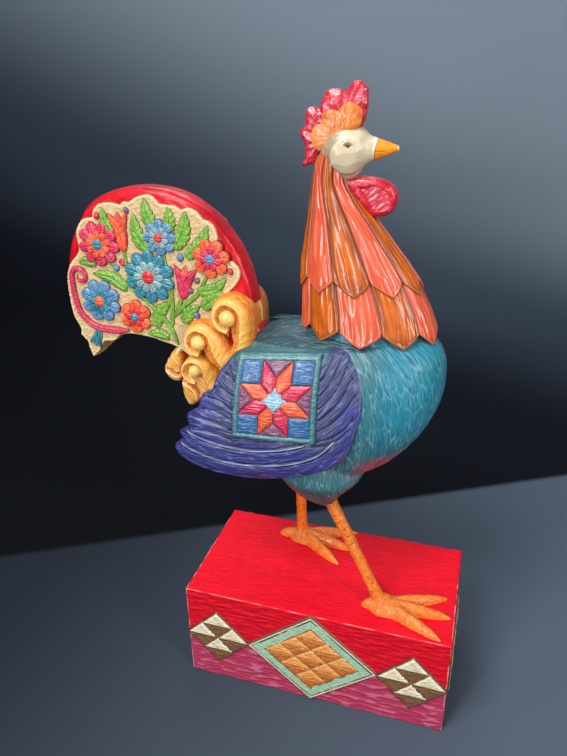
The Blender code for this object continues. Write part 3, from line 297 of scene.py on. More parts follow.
def scattered(u, v, seed):
    """Distance to the nearest of points strewn one to a cell."""
    jitter = 0.85
    iu, iv = np.floor(u), np.floor(v)
    near = np.full(u.shape, 9.0)
    for du in (-1, 0, 1):
        for dv in (-1, 0, 1):
            i, j = iu + du, iv + dv
            x = i + 0.5 + jitter * (chance(i, j, seed) - 0.5)
            y = j + 0.5 + jitter * (chance(i, j, seed + 1) - 0.5)
            near = np.minimum(near, np.hypot(u - x, v - y))
    return near


def soft_noise(u, v, seed):
    """Smooth noise from 0 to 1, with one bump to a cell."""
    iu, iv = np.floor(u), np.floor(v)
    fu, fv = u - iu, v - iv
    fu, fv = fu * fu * (3 - 2 * fu), fv * fv * (3 - 2 * fv)
    low = chance(iu, iv, seed) * (1 - fu) + chance(iu + 1, iv, seed) * fu
    high = chance(iu, iv + 1, seed) * (1 - fu) + chance(iu + 1, iv + 1, seed) * fu
    return low * (1 - fv) + high * fv


def gouges(along, across, length, width, seed):
    """The height in chisel marks, from 0 at their bottom to 1 on the ridges between them."""
    shift = 0.6 * soft_noise(along / length, across / (3 * width), seed + 5)
    return np.clip(scattered(along / length, across / width + shift, seed) / 0.62, 0, 1) ** 2


def chiselled(along, across, length, width, seed, depth):
    """Chisel marks as heights in metres, even with the plain skin on the whole."""
    return depth * (gouges(along, across, length, width, seed) - 0.6)


def bell(value, width):
    """1 at 0, and soon nothing beyond the width to both sides."""
    return np.exp(-((value / width) ** 2))


def to_line(x, z, line):
    """Distance of points to a line of points, and how far along it they lie, from 0 to 1."""
    best, place = np.full(x.shape, 1e9), np.zeros(x.shape)
    pieces = len(line) - 1
    for k in range(pieces):
        (ax, az), (bx, bz) = line[k], line[k + 1]
        dx, dz = bx - ax, bz - az
        t = np.clip(((x - ax) * dx + (z - az) * dz) / max(dx * dx + dz * dz, 1e-12), 0, 1)
        distance = np.hypot(x - ax - t * dx, z - az - t * dz)
        closer = distance < best
        best = np.where(closer, distance, best)
        place = np.where(closer, (k + t) / pieces, place)
    return best, place


def to_edge(x, z, outline):
    """Distance of points to a closed outline."""
    return to_line(x, z, [*outline, outline[0]])[0]


def smooth(points, steps, sharp=(), closed=True):
    """A curve through the points, broken at the sharp ones."""
    points = [np.array(point, float) for point in points]
    count = len(points)
    spans = count if closed else count - 1
    out = []
    for k in range(spans):
        near = ((k + i) % count if closed else min(max(k + i, 0), count - 1) for i in (-1, 0, 1, 2))
        before, here, there, after = (points[i] for i in near)
        leave = (there - before) / 2 if k not in sharp else (there - here) / 2
        arrive = (after - here) / 2 if (k + 1) % count not in sharp else (there - here) / 2
        for step in range(steps):
            t = step / steps
            out.append(
                here * (2 * t**3 - 3 * t**2 + 1) + leave * (t**3 - 2 * t**2 + t)
                + there * (3 * t**2 - 2 * t**3) + arrive * (t**3 - t**2)
            )
    if not closed:
        out.append(points[-1])
    return np.array(out)


def metres(drawn):
    """Drawn millimetres as metres."""
    return [(x * MM, z * MM) for x, z in drawn]


def line_through(drawn, steps=6):
    """A smooth open line through drawn millimetres, in metres."""
    return smooth(metres(drawn), steps, (), False)


def super_curve(t, power):
    """How high a rounded curve stands at t, from 1 in its middle to 0 at its ends."""
    return np.clip(1 - np.abs(t) ** power, 0, None) ** (1 / power)


def turns(count):
    """Angles that go once round."""
    return 2 * math.pi * np.arange(count) / count


def ring(centre, beside, other, half, tall, angles):
    """Points round a centre, half wide along one direction and tall along the other."""
    return [centre + beside * half * math.cos(a) + other * tall * math.sin(a) for a in angles]


def with_poles(rows, first=0.0, last=0.0):
    """A tube's values ring by ring in one array, with those of its two poles after them."""
    values = np.concatenate(rows)
    return np.concatenate([values, *(np.full((1, *values.shape[1:]), pole) for pole in (first, last))])


# Meshes

def linked(name, data):
    """A new object in the scene."""
    made = bpy.data.objects.new(name, data)
    bpy.context.scene.collection.objects.link(made)
    return made


def mesh_object(name, points, faces):
    mesh = bpy.data.meshes.new(name)
    mesh.from_pydata(np.asarray(points, float).tolist(), [], [list(face) for face in faces])
    mesh.update()
    return linked(name, mesh)


def shape_object(name, shape):
    """An object from a bmesh, which is used up."""
    mesh = bpy.data.meshes.new(name)
    shape.to_mesh(mesh)
    shape.free()
    return linked(name, mesh)


def grid_faces(rows, columns, around, start=0):
    """Quads over a grid of points; around closes each row."""
    faces = []
    for i in range(rows - 1):
        for j in range(columns if around else columns - 1):
            k = (j + 1) % columns
            a, b = start + i * columns, start + (i + 1) * columns
            faces.append((a + j, a + k, b + k, b + j))
    return faces


def tube(name, rings):
    """A closed skin over rings of equal count, with a pole at each end."""
    rings = np.asarray(rings, float)
    rows, columns = rings.shape[:2]
    points = np.concatenate([rings.reshape(-1, 3), rings[:1].mean(1), rings[-1:].mean(1)])
    faces = grid_faces(rows, columns, True)
    first, last = rows * columns, rows * columns + 1
    for j in range(columns):
        k = (j + 1) % columns
        faces.append((k, j, first))
        faces.append(((rows - 1) * columns + j, (rows - 1) * columns + k, last))
    return mesh_object(name, points, faces)


def joined(name, *pieces):
    """One object from several."""
    shape = bmesh.new()
    for piece in pieces:
        piece.data.transform(piece.matrix_world)
        shape.from_mesh(piece.data)
        bpy.data.objects.remove(piece, do_unlink=True)
    return shape_object(name, shape)


def outward(piece):
    shape = bmesh.new()
    shape.from_mesh(piece.data)
    bmesh.ops.recalc_face_normals(shape, faces=shape.faces)
    shape.to_mesh(piece.data)
    shape.free()
    return piece


def settle(piece):
    """Works the modifiers of a piece into its mesh."""
    bpy.context.view_layer.update()
    evaluated = piece.evaluated_get(bpy.context.evaluated_depsgraph_get())
    mesh = bpy.data.meshes.new_from_object(evaluated)
    piece.modifiers.clear()
    piece.data = mesh
    return piece


def remeshed(piece, size, smoothing=6):
    """One even skin over shapes that run into each other."""
    outward(piece)
    cover = piece.modifiers.new("cover", "REMESH")
    cover.mode = "VOXEL"
    cover.voxel_size = size
    even = piece.modifiers.new("even", "SMOOTH")
    even.factor = 0.5
    even.iterations = smoothing
    return settle(piece)


def plate(name, outline, thickness, rounding, y, size):
    """A flat outline in (x, z), in metres, with rounded edges, as an even skin centred on y."""
    curve = bpy.data.curves.new(name + "_outline", "CURVE")
    curve.dimensions = "2D"
    curve.fill_mode = "BOTH"
    curve.extrude = thickness / 2 - rounding
    curve.bevel_depth = rounding
    curve.bevel_resolution = 4
    curve.offset = -rounding
    spline = curve.splines.new("POLY")
    spline.points.add(len(outline) - 1)
    for point, (x, z) in zip(spline.points, outline):
        point.co = (x, z, 0, 1)
    spline.use_cyclic_u = True
    drawn = linked(name + "_outline", curve)
    drawn.matrix_world = Matrix.Translation((0, y, 0)) @ Matrix.Rotation(math.pi / 2, 4, "X")
    bpy.context.view_layer.update()
    mesh = bpy.data.meshes.new_from_object(drawn.evaluated_get(bpy.context.evaluated_depsgraph_get()))
    mesh.transform(drawn.matrix_world)
    bpy.data.objects.remove(drawn, do_unlink=True)
    shape = bmesh.new()
    shape.from_mesh(mesh)
    bpy.data.meshes.remove(mesh)
    bmesh.ops.remove_doubles(shape, verts=shape.verts, dist=0.00001)
    bmesh.ops.triangulate(shape, faces=[face for face in shape.faces if len(face.verts) > 4])
    return remeshed(shape_object(name, shape), size)


def points_of(piece):
    values = np.empty(3 * len(piece.data.vertices))
    piece.data.vertices.foreach_get("co", values)
    return values.reshape(-1, 3)


def normals_of(piece):
    values = np.empty(3 * len(piece.data.vertices), np.float32)
    piece.data.vertices.foreach_get("normal", values)
    return values.reshape(-1, 3).astype(float)


def facing_sideways(piece, low, high):
    """1 where the skin faces right or left."""
    return ramp(np.abs(normals_of(piece)[:, 1]), low, high)


def place(piece, points):
    piece.data.vertices.foreach_set("co", np.asarray(points, float).ravel())
    piece.data.update()


def swell(piece, heights):
    """Moves each point out along its normal, by metres."""
    place(piece, points_of(piece) + normals_of(piece) * np.asarray(heights)[:, None])


def hollows(piece, steps):
    """How far each point stands over the smoothed skin, in metres; below 0 in grooves."""
    mesh = piece.data
    ends = np.empty(2 * len(mesh.edges), np.int32)
    mesh.edges.foreach_get("vertices", ends)
    a, b = ends.reshape(-1, 2).T
    count = len(mesh.vertices)
    neighbours = np.maximum(np.bincount(a, minlength=count) + np.bincount(b, minlength=count), 1)
    points = points_of(piece)
    even = points.copy()
    for _ in range(steps):
        sums = np.empty_like(even)
        for axis in range(3):
            column = even[:, axis]
            sums[:, axis] = np.bincount(a, column[b], count) + np.bincount(b, column[a], count)
        even = (even + sums / neighbours[:, None]) / 2
    return ((points - even) * normals_of(piece)).sum(1)


def store(piece, name, values):
    values = np.asarray(values, np.float32)
    kind, field = ("FLOAT_VECTOR", "vector") if values.ndim == 2 else ("FLOAT", "value")
    attribute = piece.data.attributes.get(name) or piece.data.attributes.new(name, kind, "POINT")
    attribute.data.foreach_set(field, values.ravel())


def dress(piece, coat, node, slot, flow, depth, steps, **marks):
    """Gives a piece its paint and what the paint follows, and lets it ride.

    flow is each point's place along the strokes, in metres, or None for its own place, and marks
    are more values for the paint. The relief runs from 0 in grooves over 0.5 on plain ground to 1
    on ridges.
    """
    outward(piece)
    points = points_of(piece)
    if isinstance(flow, tuple):
        flow = np.stack(flow, 1)
    store(piece, "relief", np.clip(0.5 + hollows(piece, steps) / (2 * depth), 0, 1))
    store(piece, "flow", (points if flow is None else flow) / MM)
    for name, values in marks.items():
        store(piece, name, values)
    place(piece, points + np.array(BIRD))
    if coat is not None:
        piece.data.materials.append(coat)
    piece.data.shade_smooth()
    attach(piece, "root")
    if node:
        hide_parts(node)
    return piece


# Paint

def rgb(*colour):
    """A colour as it looks on a screen, from 0 to 255, as light."""
    return tuple(((v / 255 + 0.055) / 1.055) ** 2.4 if v > 10 else v / 3294.6 for v in colour)


class Coat:
    """A painted, varnished wood, built up in layers on one material."""

    def __init__(self, name, base, roughness, varnish, varnish_roughness=0.12):
        self.material = bpy.data.materials.new(name)
        self.material.use_nodes = True
        self.nodes = self.material.node_tree.nodes
        self.links = self.material.node_tree.links
        self.shader = self.nodes["Principled BSDF"]
        self.shader.inputs["Roughness"].default_value = roughness
        self.shader.inputs["Coat Weight"].default_value = varnish
        self.shader.inputs["Coat Roughness"].default_value = varnish_roughness
        self.colour = (*rgb(*base), 1)
        self.flow = self.attribute("flow").outputs["Vector"]
        self.relief = self.attribute("relief").outputs["Fac"]
        self.seed = 3.1 * len(bpy.data.materials)
        self.carved = None

    def attribute(self, name):
        found = self.nodes.new("ShaderNodeAttribute")
        found.attribute_name = name
        return found

    def feed(self, socket, value):
        if isinstance(value, bpy.types.NodeSocket):
            self.links.new(value, socket)
        else:
            socket.default_value = value

    def math(self, operation, first, second):
        made = self.nodes.new("ShaderNodeMath")
        made.operation = operation
        self.feed(made.inputs[0], first)
        self.feed(made.inputs[1], second)
        return made.outputs[0]

    def step(self, value, low, high, most=1.0):
        """0 below low and most above high, the other way round where low is above high."""
        made = self.nodes.new("ShaderNodeMapRange")
        made.interpolation_type = "SMOOTHSTEP"
        flipped = low > high
        self.feed(made.inputs["Value"], value)
        made.inputs["From Min"].default_value = min(low, high)
        made.inputs["From Max"].default_value = max(low, high)
        made.inputs["To Min"].default_value = most if flipped else 0.0
        made.inputs["To Max"].default_value = 0.0 if flipped else most
        return made.outputs["Result"]

    def scaled(self, length, width):
        """The place along and across the strokes, in cells of this length and width in millimetres."""
        made = self.nodes.new("ShaderNodeVectorMath")
        made.operation = "MULTIPLY_ADD"
        self.feed(made.inputs[0], self.flow)
        made.inputs[1].default_value = (1 / length, 1 / width, 1 / width)
        self.seed += 7.3
        made.inputs[2].default_value = (self.seed, 2 * self.seed, 0)
        return made.outputs[0]

    def noise(self, length, width, detail=4.0, roughness=0.6):
        made = self.nodes.new("ShaderNodeTexNoise")
        made.inputs["Scale"].default_value = 1.0
        made.inputs["Detail"].default_value = detail
        made.inputs["Roughness"].default_value = roughness
        self.feed(made.inputs["Vector"], self.scaled(length, width))
        return made.outputs["Fac"]

    def facets(self, colour, length, width, amount, thin, flat=True):
        """Chisel facets of this length and width, with a thin broken line of colour between them."""
        wobble = self.nodes.new("ShaderNodeCombineXYZ")
        self.feed(wobble.inputs["Y"], self.math("MULTIPLY", self.noise(length, 3 * width, 2.0), 1.2))
        place_at = self.nodes.new("ShaderNodeVectorMath")
        self.feed(place_at.inputs[0], self.scaled(length, width))
        self.feed(place_at.inputs[1], wobble.outputs[0])
        cells = self.nodes.new("ShaderNodeTexVoronoi")
        cells.voronoi_dimensions = "2D" if flat else "3D"
        cells.feature = "DISTANCE_TO_EDGE"
        cells.inputs["Scale"].default_value = 1.0
        cells.inputs["Randomness"].default_value = 0.9
        self.feed(cells.inputs["Vector"], place_at.outputs[0])
        edge = cells.outputs["Distance"]
        self.carved = self.step(edge, 0.0, 0.34)
        patches = self.step(self.noise(1.4 * length, 3 * width, 3.0), 0.4, 0.6, 1.0)
        return self.over(colour, self.math("MULTIPLY", patches, self.step(edge, thin, 0.25 * thin, amount)))

    def over(self, colour, amount):
        """Lays a colour over what is there."""
        made = self.nodes.new("ShaderNodeMix")
        made.data_type = "RGBA"
        self.feed(made.inputs[0], amount)
        self.feed(made.inputs[6], self.colour)
        self.feed(made.inputs[7], (*rgb(*colour), 1))
        self.colour = made.outputs[2]
        return self

    def mottle(self, colour, size, amount):
        """Uneven colour in soft patches."""
        return self.over(colour, self.step(self.noise(size, size * 0.6), 0.38, 0.68, amount))

    def strokes(self, colour, length, width, amount, cover):
        """Dry brush strokes; cover is the share of the ground that they take."""
        low = 0.66 - 0.22 * cover
        return self.over(colour, self.step(self.noise(length, width, 5.0, 0.65), low, low + 0.1, amount))

    def grooves(self, colour, amount, low=0.12, high=0.46):
        return self.over(colour, self.step(self.relief, high, low, amount))

    def ridges(self, colour, amount, low=0.58, high=0.9, broken=0.5):
        """Paint rubbed off the high spots, in patches where broken is above 0."""
        patches = self.step(self.noise(5.0, 1.6, 4.0, 0.6), 0.62 - 0.4 * (1 - broken), 0.3, 1.0)
        patches = self.math("MULTIPLY", patches, self.step(self.relief, low, high, amount))
        return self.over(colour, patches)

    def mark(self, name, colour, amount, low=0.2, high=0.8, uneven=0.0):
        """A colour where the mark of this name is high."""
        value = self.attribute(name).outputs["Fac"]
        if uneven:
            value = self.math("ADD", value, self.math("MULTIPLY", self.noise(9, 3), 2 * uneven))
            value = self.math("SUBTRACT", value, uneven)
        return self.over(colour, self.step(value, low, high, amount))

    def dull(self, level):
        """Less mirror on the paint, so that a deep colour stays deep."""
        self.shader.inputs["Specular IOR Level"].default_value = level
        return self

    def finish(self, bump=0.25, length=5.0, width=0.5, rough=0.1):
        """Colour to the shader, with fine brush marks in its height and gloss."""
        self.feed(self.shader.inputs["Base Color"], self.colour)
        fine = self.noise(length, width, 3.0, 0.6)
        made = self.nodes.new("ShaderNodeBump")
        made.inputs["Strength"].default_value = bump
        made.inputs["Distance"].default_value = 0.0004
        height = fine
        if self.carved is not None:
            height = self.math("ADD", self.math("MULTIPLY", fine, 0.6), self.carved)
        self.feed(made.inputs["Height"], height)
        self.feed(self.shader.inputs["Normal"], made.outputs["Normal"])
        base = self.shader.inputs["Roughness"].default_value
        spread = self.nodes.new("ShaderNodeMapRange")
        self.feed(spread.inputs["Value"], fine)
        spread.inputs["To Min"].default_value = base - rough
        spread.inputs["To Max"].default_value = base + rough
        self.feed(self.shader.inputs["Roughness"], spread.outputs["Result"])
        return self.material


BODY_TEAL = (
    Coat("body_teal", (22, 104, 124), 0.45, 0.2, 0.2)
    .mottle((16, 78, 96), 22, 0.8)
    # the breast paler and bluer: partly the paint's own tone, partly painted light from the front right
    .mark("breast", (38, 136, 158), 0.65, 0.2, 1.0, 0.15)
    .mark("flank", (58, 106, 112), 0.75, 0.2, 0.9, 0.2)
    # painted shade on the thighs' ends under the belly
    .mark("low", (24, 58, 66), 0.8, 0.2, 0.9, 0.15)
    .mark("back", (14, 44, 52), 0.9)
    .strokes((12, 60, 76), 16, 0.7, 0.7, 0.55)
    .strokes((66, 148, 160), 14, 0.8, 0.5, 0.4)
    # painted reflection of the red block, in rose low on the glossy belly
    .mark("blush", (178, 50, 70), 0.85, 0.2, 1.2, 0.35)
    .grooves((10, 54, 66), 0.5)
    .facets((136, 190, 192), 12, 1.7, 0.36, 0.15)
    .strokes((156, 202, 202), 13, 0.4, 0.65, 0.22)
    .strokes((96, 166, 174), 7, 0.35, 0.5, 0.3)
    .mark("back", (24, 62, 72), 0.5)
    .finish(0.6)
)
WING_INDIGO = (
    Coat("wing_indigo", (50, 54, 128), 0.46, 0.15, 0.2)
    .mottle((38, 42, 102), 18, 0.8)
    .mark("inner", (54, 60, 96), 0.75, 0.2, 0.9, 0.2)
    .strokes((24, 26, 68), 18, 0.5, 0.75, 0.5)
    .strokes((92, 100, 170), 18, 0.6, 0.5, 0.4)
    .grooves((16, 18, 46), 0.9)
    .facets((140, 148, 194), 16, 2.0, 0.3, 0.14)
    .mark("pale", (176, 188, 212), 0.75, 0.35, 0.95, 0.3)
    .strokes((168, 174, 200), 14, 0.34, 0.5, 0.12)
    .mark("rim", (84, 94, 168), 0.3, 0.3, 0.9, 0.2)
    .mark("saddle", (40, 92, 100), 1.0, 0.4, 0.6, 0.15)
    .finish(0.6)
)
TAIL_RED = (
    Coat("tail_red", (206, 4, 26), 0.38, 0.3, 0.14)
    .mottle((146, 4, 18), 20, 0.8)
    .strokes((224, 26, 42), 18, 1.4, 0.5, 0.4)
    .strokes((120, 2, 14), 14, 0.9, 0.5, 0.3)
    .grooves((104, 4, 14), 0.6)
    .mark("under", (200, 168, 120), 1.0, 0.4, 0.6, 0.1)
    .facets((232, 60, 70), 16, 5.0, 0.16, 0.08)
    .dull(0.3)
    .finish(0.4, 8, 1.2, 0.06)
)
BLOCK_RED = (
    Coat("block_red", (228, 2, 34), 0.6, 0.0, 0.35)
    .mottle((208, 2, 26), 24, 0.6)
    .mark("shade", (192, 4, 28), 0.8)
    .mark("rose", (166, 52, 84), 1.0, 0.45, 0.55)
    .strokes((160, 2, 26), 12, 0.6, 0.3, 0.3)
    .strokes((238, 40, 56), 10, 0.6, 0.25, 0.2)
    .grooves((140, 4, 30), 0.35)
    .facets((226, 84, 98), 11, 2.0, 0.1, 0.1)
    .mark("ripple", (208, 124, 148), 0.5, 0.45, 1.0, 0.4)
    .mark("worn", (240, 168, 160), 0.75, 0.35, 0.85, 0.3)
    .dull(0.2)
    .finish(0.4, 9, 0.8)
)
CORAL = (
    Coat("feather_coral", (216, 94, 58), 0.32, 0.7, 0.12)
    .mottle((204, 78, 46), 16, 0.8)
    .strokes((238, 138, 106), 20, 0.8, 0.55, 0.4)
    .strokes((180, 60, 38), 16, 0.5, 0.5, 0.3)
    .mark("shade", (186, 60, 36), 0.4, 0.3, 1.0, 0.2)
    .grooves((104, 34, 20), 0.95, 0.1, 0.42)
    .ridges((250, 200, 176), 0.55, 0.6, 0.95, 0.4)
    .mark("lip", (244, 150, 100), 0.45, 0.3, 0.8, 0.3)
    .finish(0.35, 14, 0.9)
)
AMBER = (
    Coat("feather_amber", (204, 96, 6), 0.34, 0.55, 0.12)
    .mottle((158, 68, 12), 14, 0.85)
    .strokes((222, 130, 40), 22, 0.9, 0.6, 0.4)
    .strokes((122, 52, 12), 18, 0.5, 0.55, 0.35)
    .mark("shade", (112, 54, 18), 0.65, 0.3, 1.0, 0.2)
    .grooves((74, 32, 12), 0.95, 0.1, 0.42)
    .ridges((240, 184, 112), 0.4, 0.6, 0.95, 0.4)
    .mark("lip", (232, 132, 64), 0.5, 0.3, 0.8, 0.3)
    .finish(0.35, 14, 0.9)
)
IVORY = (
    Coat("head_ivory", (204, 193, 162), 0.44, 0.3, 0.2)
    .mottle((188, 174, 142), 12, 0.7)
    .mark("nape", (156, 138, 104), 0.9, 0.2, 0.9, 0.2)
    .mark("cheek", (194, 174, 144), 0.8, 0.2, 0.8, 0.1)
    .strokes((230, 222, 200), 7, 1.1, 0.6, 0.4)
    .strokes((154, 138, 106), 6, 0.6, 0.45, 0.3)
    .mark("ring", (118, 98, 68), 0.7, 0.2, 0.9, 0.2)
    .mark("lip", (240, 232, 206), 0.8, 0.3, 0.8)
    .grooves((132, 112, 80), 0.5)
    .mark("line", (92, 66, 40), 0.85, 0.3, 0.9)
    .finish(0.3, 5, 0.9)
)
BEAK = (
    Coat("beak_orange", (242, 150, 24), 0.4, 0.3)
    .mottle((230, 126, 16), 5, 0.7)
    .strokes((250, 186, 74), 6, 0.7, 0.5, 0.4)
    .mark("tip", (246, 214, 156), 0.9, 0.3, 0.9)
    .grooves((180, 88, 14), 0.7)
    .finish(0.3, 4, 0.8)
)
CRIMSON = (
    Coat("comb_crimson", (202, 16, 46), 0.34, 0.55, 0.14)
    .mottle((166, 6, 32), 8, 0.8)
    .mark("face", (204, 66, 84), 0.5, 0.3, 0.9, 0.4)
    .strokes((238, 166, 170), 5, 0.7, 0.7, 0.16)
    .strokes((130, 4, 26), 5, 0.7, 0.45, 0.3)
    .grooves((96, 6, 26), 0.7)
    .facets((238, 150, 156), 8, 4.0, 0.3, 0.08, False)
    .ridges((240, 140, 148), 0.4)
    .finish(0.4, 5, 0.9)
)
CREST = (
    Coat("crest_orange", (214, 112, 26), 0.42, 0.3)
    .mottle((192, 88, 18), 8, 0.7)
    .mark("low", (224, 138, 80), 0.7, 0.2, 0.9, 0.1)
    .strokes((232, 152, 70), 7, 0.8, 0.5, 0.35)
    .strokes((160, 80, 26), 6, 0.6, 0.4, 0.3)
    .grooves((126, 60, 20), 0.85)
    .facets((244, 196, 130), 8, 4.0, 0.2, 0.08, False)
    .ridges((246, 200, 138), 0.4)
    .finish(0.35, 5, 0.8)
)
GOLD = (
    Coat("curl_gold", (226, 130, 22), 0.46, 0.25)
    .mottle((208, 102, 12), 9, 0.7)
    .mark("height", (240, 184, 84), 0.75, 0.2, 1.0, 0.3)
    .strokes((246, 206, 122), 6, 0.9, 0.5, 0.35)
    .strokes((196, 110, 34), 7, 0.6, 0.5, 0.4)
    .grooves((206, 104, 24), 0.95, 0.12, 0.52)
    .grooves((122, 58, 16), 0.85, 0.0, 0.2)
    .facets((250, 214, 140), 6, 2.4, 0.3, 0.12, False)
    .ridges((250, 222, 156), 0.75, 0.6, 0.88, 0.15)
    .mark("pearl", (238, 206, 120), 0.6, 0.2, 0.8, 0.2)
    .finish(0.5, 3, 0.8)
)
LEG = (
    Coat("leg_orange", (230, 116, 16), 0.42, 0.25)
    .mottle((204, 88, 14), 9, 0.8)
    .strokes((246, 168, 72), 5, 0.6, 0.65, 0.5)
    .strokes((168, 72, 18), 5, 0.5, 0.5, 0.35)
    .grooves((130, 54, 14), 0.8)
    .facets((250, 196, 128), 5, 1.8, 0.2, 0.12, False)
    .ridges((250, 204, 140), 0.5)
    .mark("dash", (104, 48, 18), 0.7, 0.3, 0.7, 0.2)
    .finish(0.6, 4, 0.6)
)
SAND = (
    Coat("panel_sand", (204, 176, 128), 0.6, 0.1, 0.3)
    .mottle((184, 152, 102), 9, 0.7)
    .strokes((222, 200, 156), 2.2, 1.6, 0.6, 0.4)
    .strokes((156, 122, 76), 1.2, 1.0, 0.5, 0.3)
    .mark("edge", (222, 200, 150), 0.7, 0.2, 0.8, 0.2)
    .grooves((146, 108, 62), 0.8)
    .facets((228, 208, 166), 3.0, 2.4, 0.3, 0.14, False)
    .finish(0.6, 1.2, 0.9)
)


def flat_paint(name, base, deep, pale, varnish=0.3, carved=0.85):
    """Paint for the small raised pieces of a picture or patchwork."""
    return (
        Coat(name, base, 0.42, varnish, 0.16)
        .mottle(deep, 7, 0.7)
        .strokes(pale, 7, 0.7, 0.45, 0.4)
        .strokes([int(v * 0.7) for v in deep], 6, 0.6, 0.4, 0.3)
        .grooves([int(v * 0.5) for v in deep], carved)
        .facets(pale, 7, 1.7, 0.25, 0.14)
        .ridges(pale, 0.6, 0.56, 0.85, 0.2)
        .mark("ink", (74, 34, 24), 0.85, 0.4, 0.6)
        .finish(0.6, 5, 0.6)
    )


PAINTS = {
    name: flat_paint(name, *colours)
    for name, colours in {
        "leaf_green": ((120, 172, 54), (78, 134, 40), (192, 216, 116)),
        "petal_teal": ((44, 130, 150), (26, 98, 122), (120, 182, 190)),
        "petal_blue": ((92, 138, 176), (60, 106, 150), (176, 204, 216)),
        "petal_ice": ((134, 168, 170), (98, 138, 146), (196, 212, 206)),
        "petal_orange": ((236, 92, 44), (206, 62, 30), (250, 158, 110)),
        "petal_magenta": ((212, 42, 84), (176, 24, 62), (240, 120, 140)),
        "berry_purple": ((128, 84, 128), (96, 56, 100), (186, 150, 180)),
        "heart_red": ((220, 40, 48), (180, 20, 34), (246, 120, 110)),
        "patch_plum": ((128, 70, 104), (98, 50, 82), (184, 142, 164)),
        "patch_crimson": ((200, 30, 72), (164, 18, 52), (240, 132, 150)),
        "patch_orange": ((226, 84, 40), (194, 60, 30), (248, 158, 110)),
        "patch_blue": ((44, 98, 150), (28, 74, 124), (132, 172, 202)),
        "patch_ice": ((142, 182, 202), (104, 150, 180), (226, 236, 238)),
        "patch_border": ((66, 124, 128), (44, 96, 102), (140, 184, 178)),
        "patch_mint": ((158, 194, 160), (136, 178, 144), (208, 224, 196), 0.2, 0.2),
        "patch_amber": ((192, 104, 30), (158, 80, 22), (226, 150, 70)),
        "patch_honey": ((228, 156, 76), (204, 124, 50), (246, 200, 128)),
        "patch_cream": ((224, 214, 184), (196, 182, 146), (244, 238, 218)),
        "patch_brown": ((122, 84, 48), (92, 60, 34), (164, 124, 80)),
    }.items()
}


# Body and thighs

def body_line(t):
    return BODY_LIFT + RUMP_DROP * t


def body_section(t):
    """Half width, top and bottom of the body at t, from -1 at the rump to 1 at the breast."""
    ahead = t > 0
    half = BODY_WIDTH / 2 * super_curve(t, 2.2 if ahead else 2.0)
    top = body_line(t) + BODY_RISE * super_curve(t, 3.2 if ahead else 2.6)
    bottom = body_line(t) - BODY_DROP * super_curve(t, 1.8 if ahead else 2.0)
    return half, top, bottom


def make_body():
    stations, sides, power = 90, 128, 2.3
    angles = turns(sides)
    c, s = np.cos(angles), np.sin(angles)
    up, out = np.sign(c) * np.abs(c) ** (2 / power), np.sign(s) * np.abs(s) ** (2 / power)
    rings = []
    for station in np.linspace(0.25, stations - 0.25, stations):
        t = -math.cos(math.pi * station / stations)
        half, top, bottom = body_section(t)
        x = np.full(sides, BODY_X + t * BODY_LENGTH / 2)
        rings.append(np.stack([x, half * out, (top + bottom) / 2 + (top - bottom) / 2 * up], 1))
    body = tube("body_egg", rings)
    body = joined("body_carved", body, *[thigh(side) for side in SIDES])
    remeshed(body, size=0.0013, smoothing=10)
    points, normals = points_of(body), normals_of(body)
    x, y, z = points.T
    turn = np.arctan2(y, x - BODY_X + 0.012)
    along, across = -z, turn * 0.05 + 0.1 * z + 0.0022 * soft_noise(z / 0.016, turn * 2, 3)
    # the thighs' ends under the belly, which are painted darker as shade
    thigh_shade = np.zeros(len(z))
    for side, tip in THIGH_TIPS.items():
        axis_x, axis_y = HIPS[side].x - tip.x, HIPS[side].y - tip.y
        share = (z - tip.z) / (HIPS[side].z - tip.z)
        dx, dy = x - tip.x - axis_x * share, y - tip.y - axis_y * share
        here = (1 - ramp(z, BELLY_Z - 0.001, BELLY_Z + 0.013)) * (np.hypot(dx, dy) < 0.034)
        swirl = np.arctan2(dy, dx) * 0.014
        across = np.where(here > 0.5, swirl + 0.1 * z, across)
        thigh_shade = np.maximum(thigh_shade, here)
    top = ramp(normals[:, 2], 0.62, 0.8) * ramp(-x, -0.05, -0.02)
    along, across = np.where(top > 0.5, x, along), np.where(top > 0.5, y + 0.15 * x, across)
    length, width = np.where(top > 0.5, 0.018, 0.014), np.where(top > 0.5, 0.0052, 0.0044)
    swell(body, chiselled(along, across, length, width, seed=11, depth=0.0005))
    # where the red block's reflection is painted in rose on the lower belly
    blush = bell(x - 0.04, 0.019) * bell(z - 0.1165 - 0.3 * (x - 0.04), 0.009)
    # the breast mark holds painted light from the front right as well as the paint's bluer tone
    dress(
        body, BODY_TEAL, "body", "teal", (along, across, 0 * z), depth=0.0003, steps=8,
        back=top, blush=blush * 1.4, breast=ramp(x, 0.0, 0.06) * ramp(z, 0.1, 0.16) * (1 - top),
        flank=(1 - ramp(x, 0.01, 0.062)) * (1 - top), low=thigh_shade,
    )


def thigh(side):
    """The feathered thigh, from a broad root in the belly to a round end square to the leg."""
    tip = THIGH_TIPS[side]
    axis = (HUBS[side] - tip).normalized()
    beside = Vector((0, 1, 0))
    lengthwise = beside.cross(axis).normalized()
    if lengthwise.x < 0:
        lengthwise = -lengthwise
    rings = []
    for share, half_length, half_width, level in smooth(THIGH_SECTIONS, 6, (), False):
        across = lengthwise.lerp(Vector((1, 0, 0)), level).normalized()
        rings.append(ring(tip.lerp(HIPS[side], share), across, beside, half_length, half_width, turns(40)))
    return tube("thigh_" + side, rings)


# Neck

NECK_STEPS = np.arange(-0.014, 0.1201, 0.001)


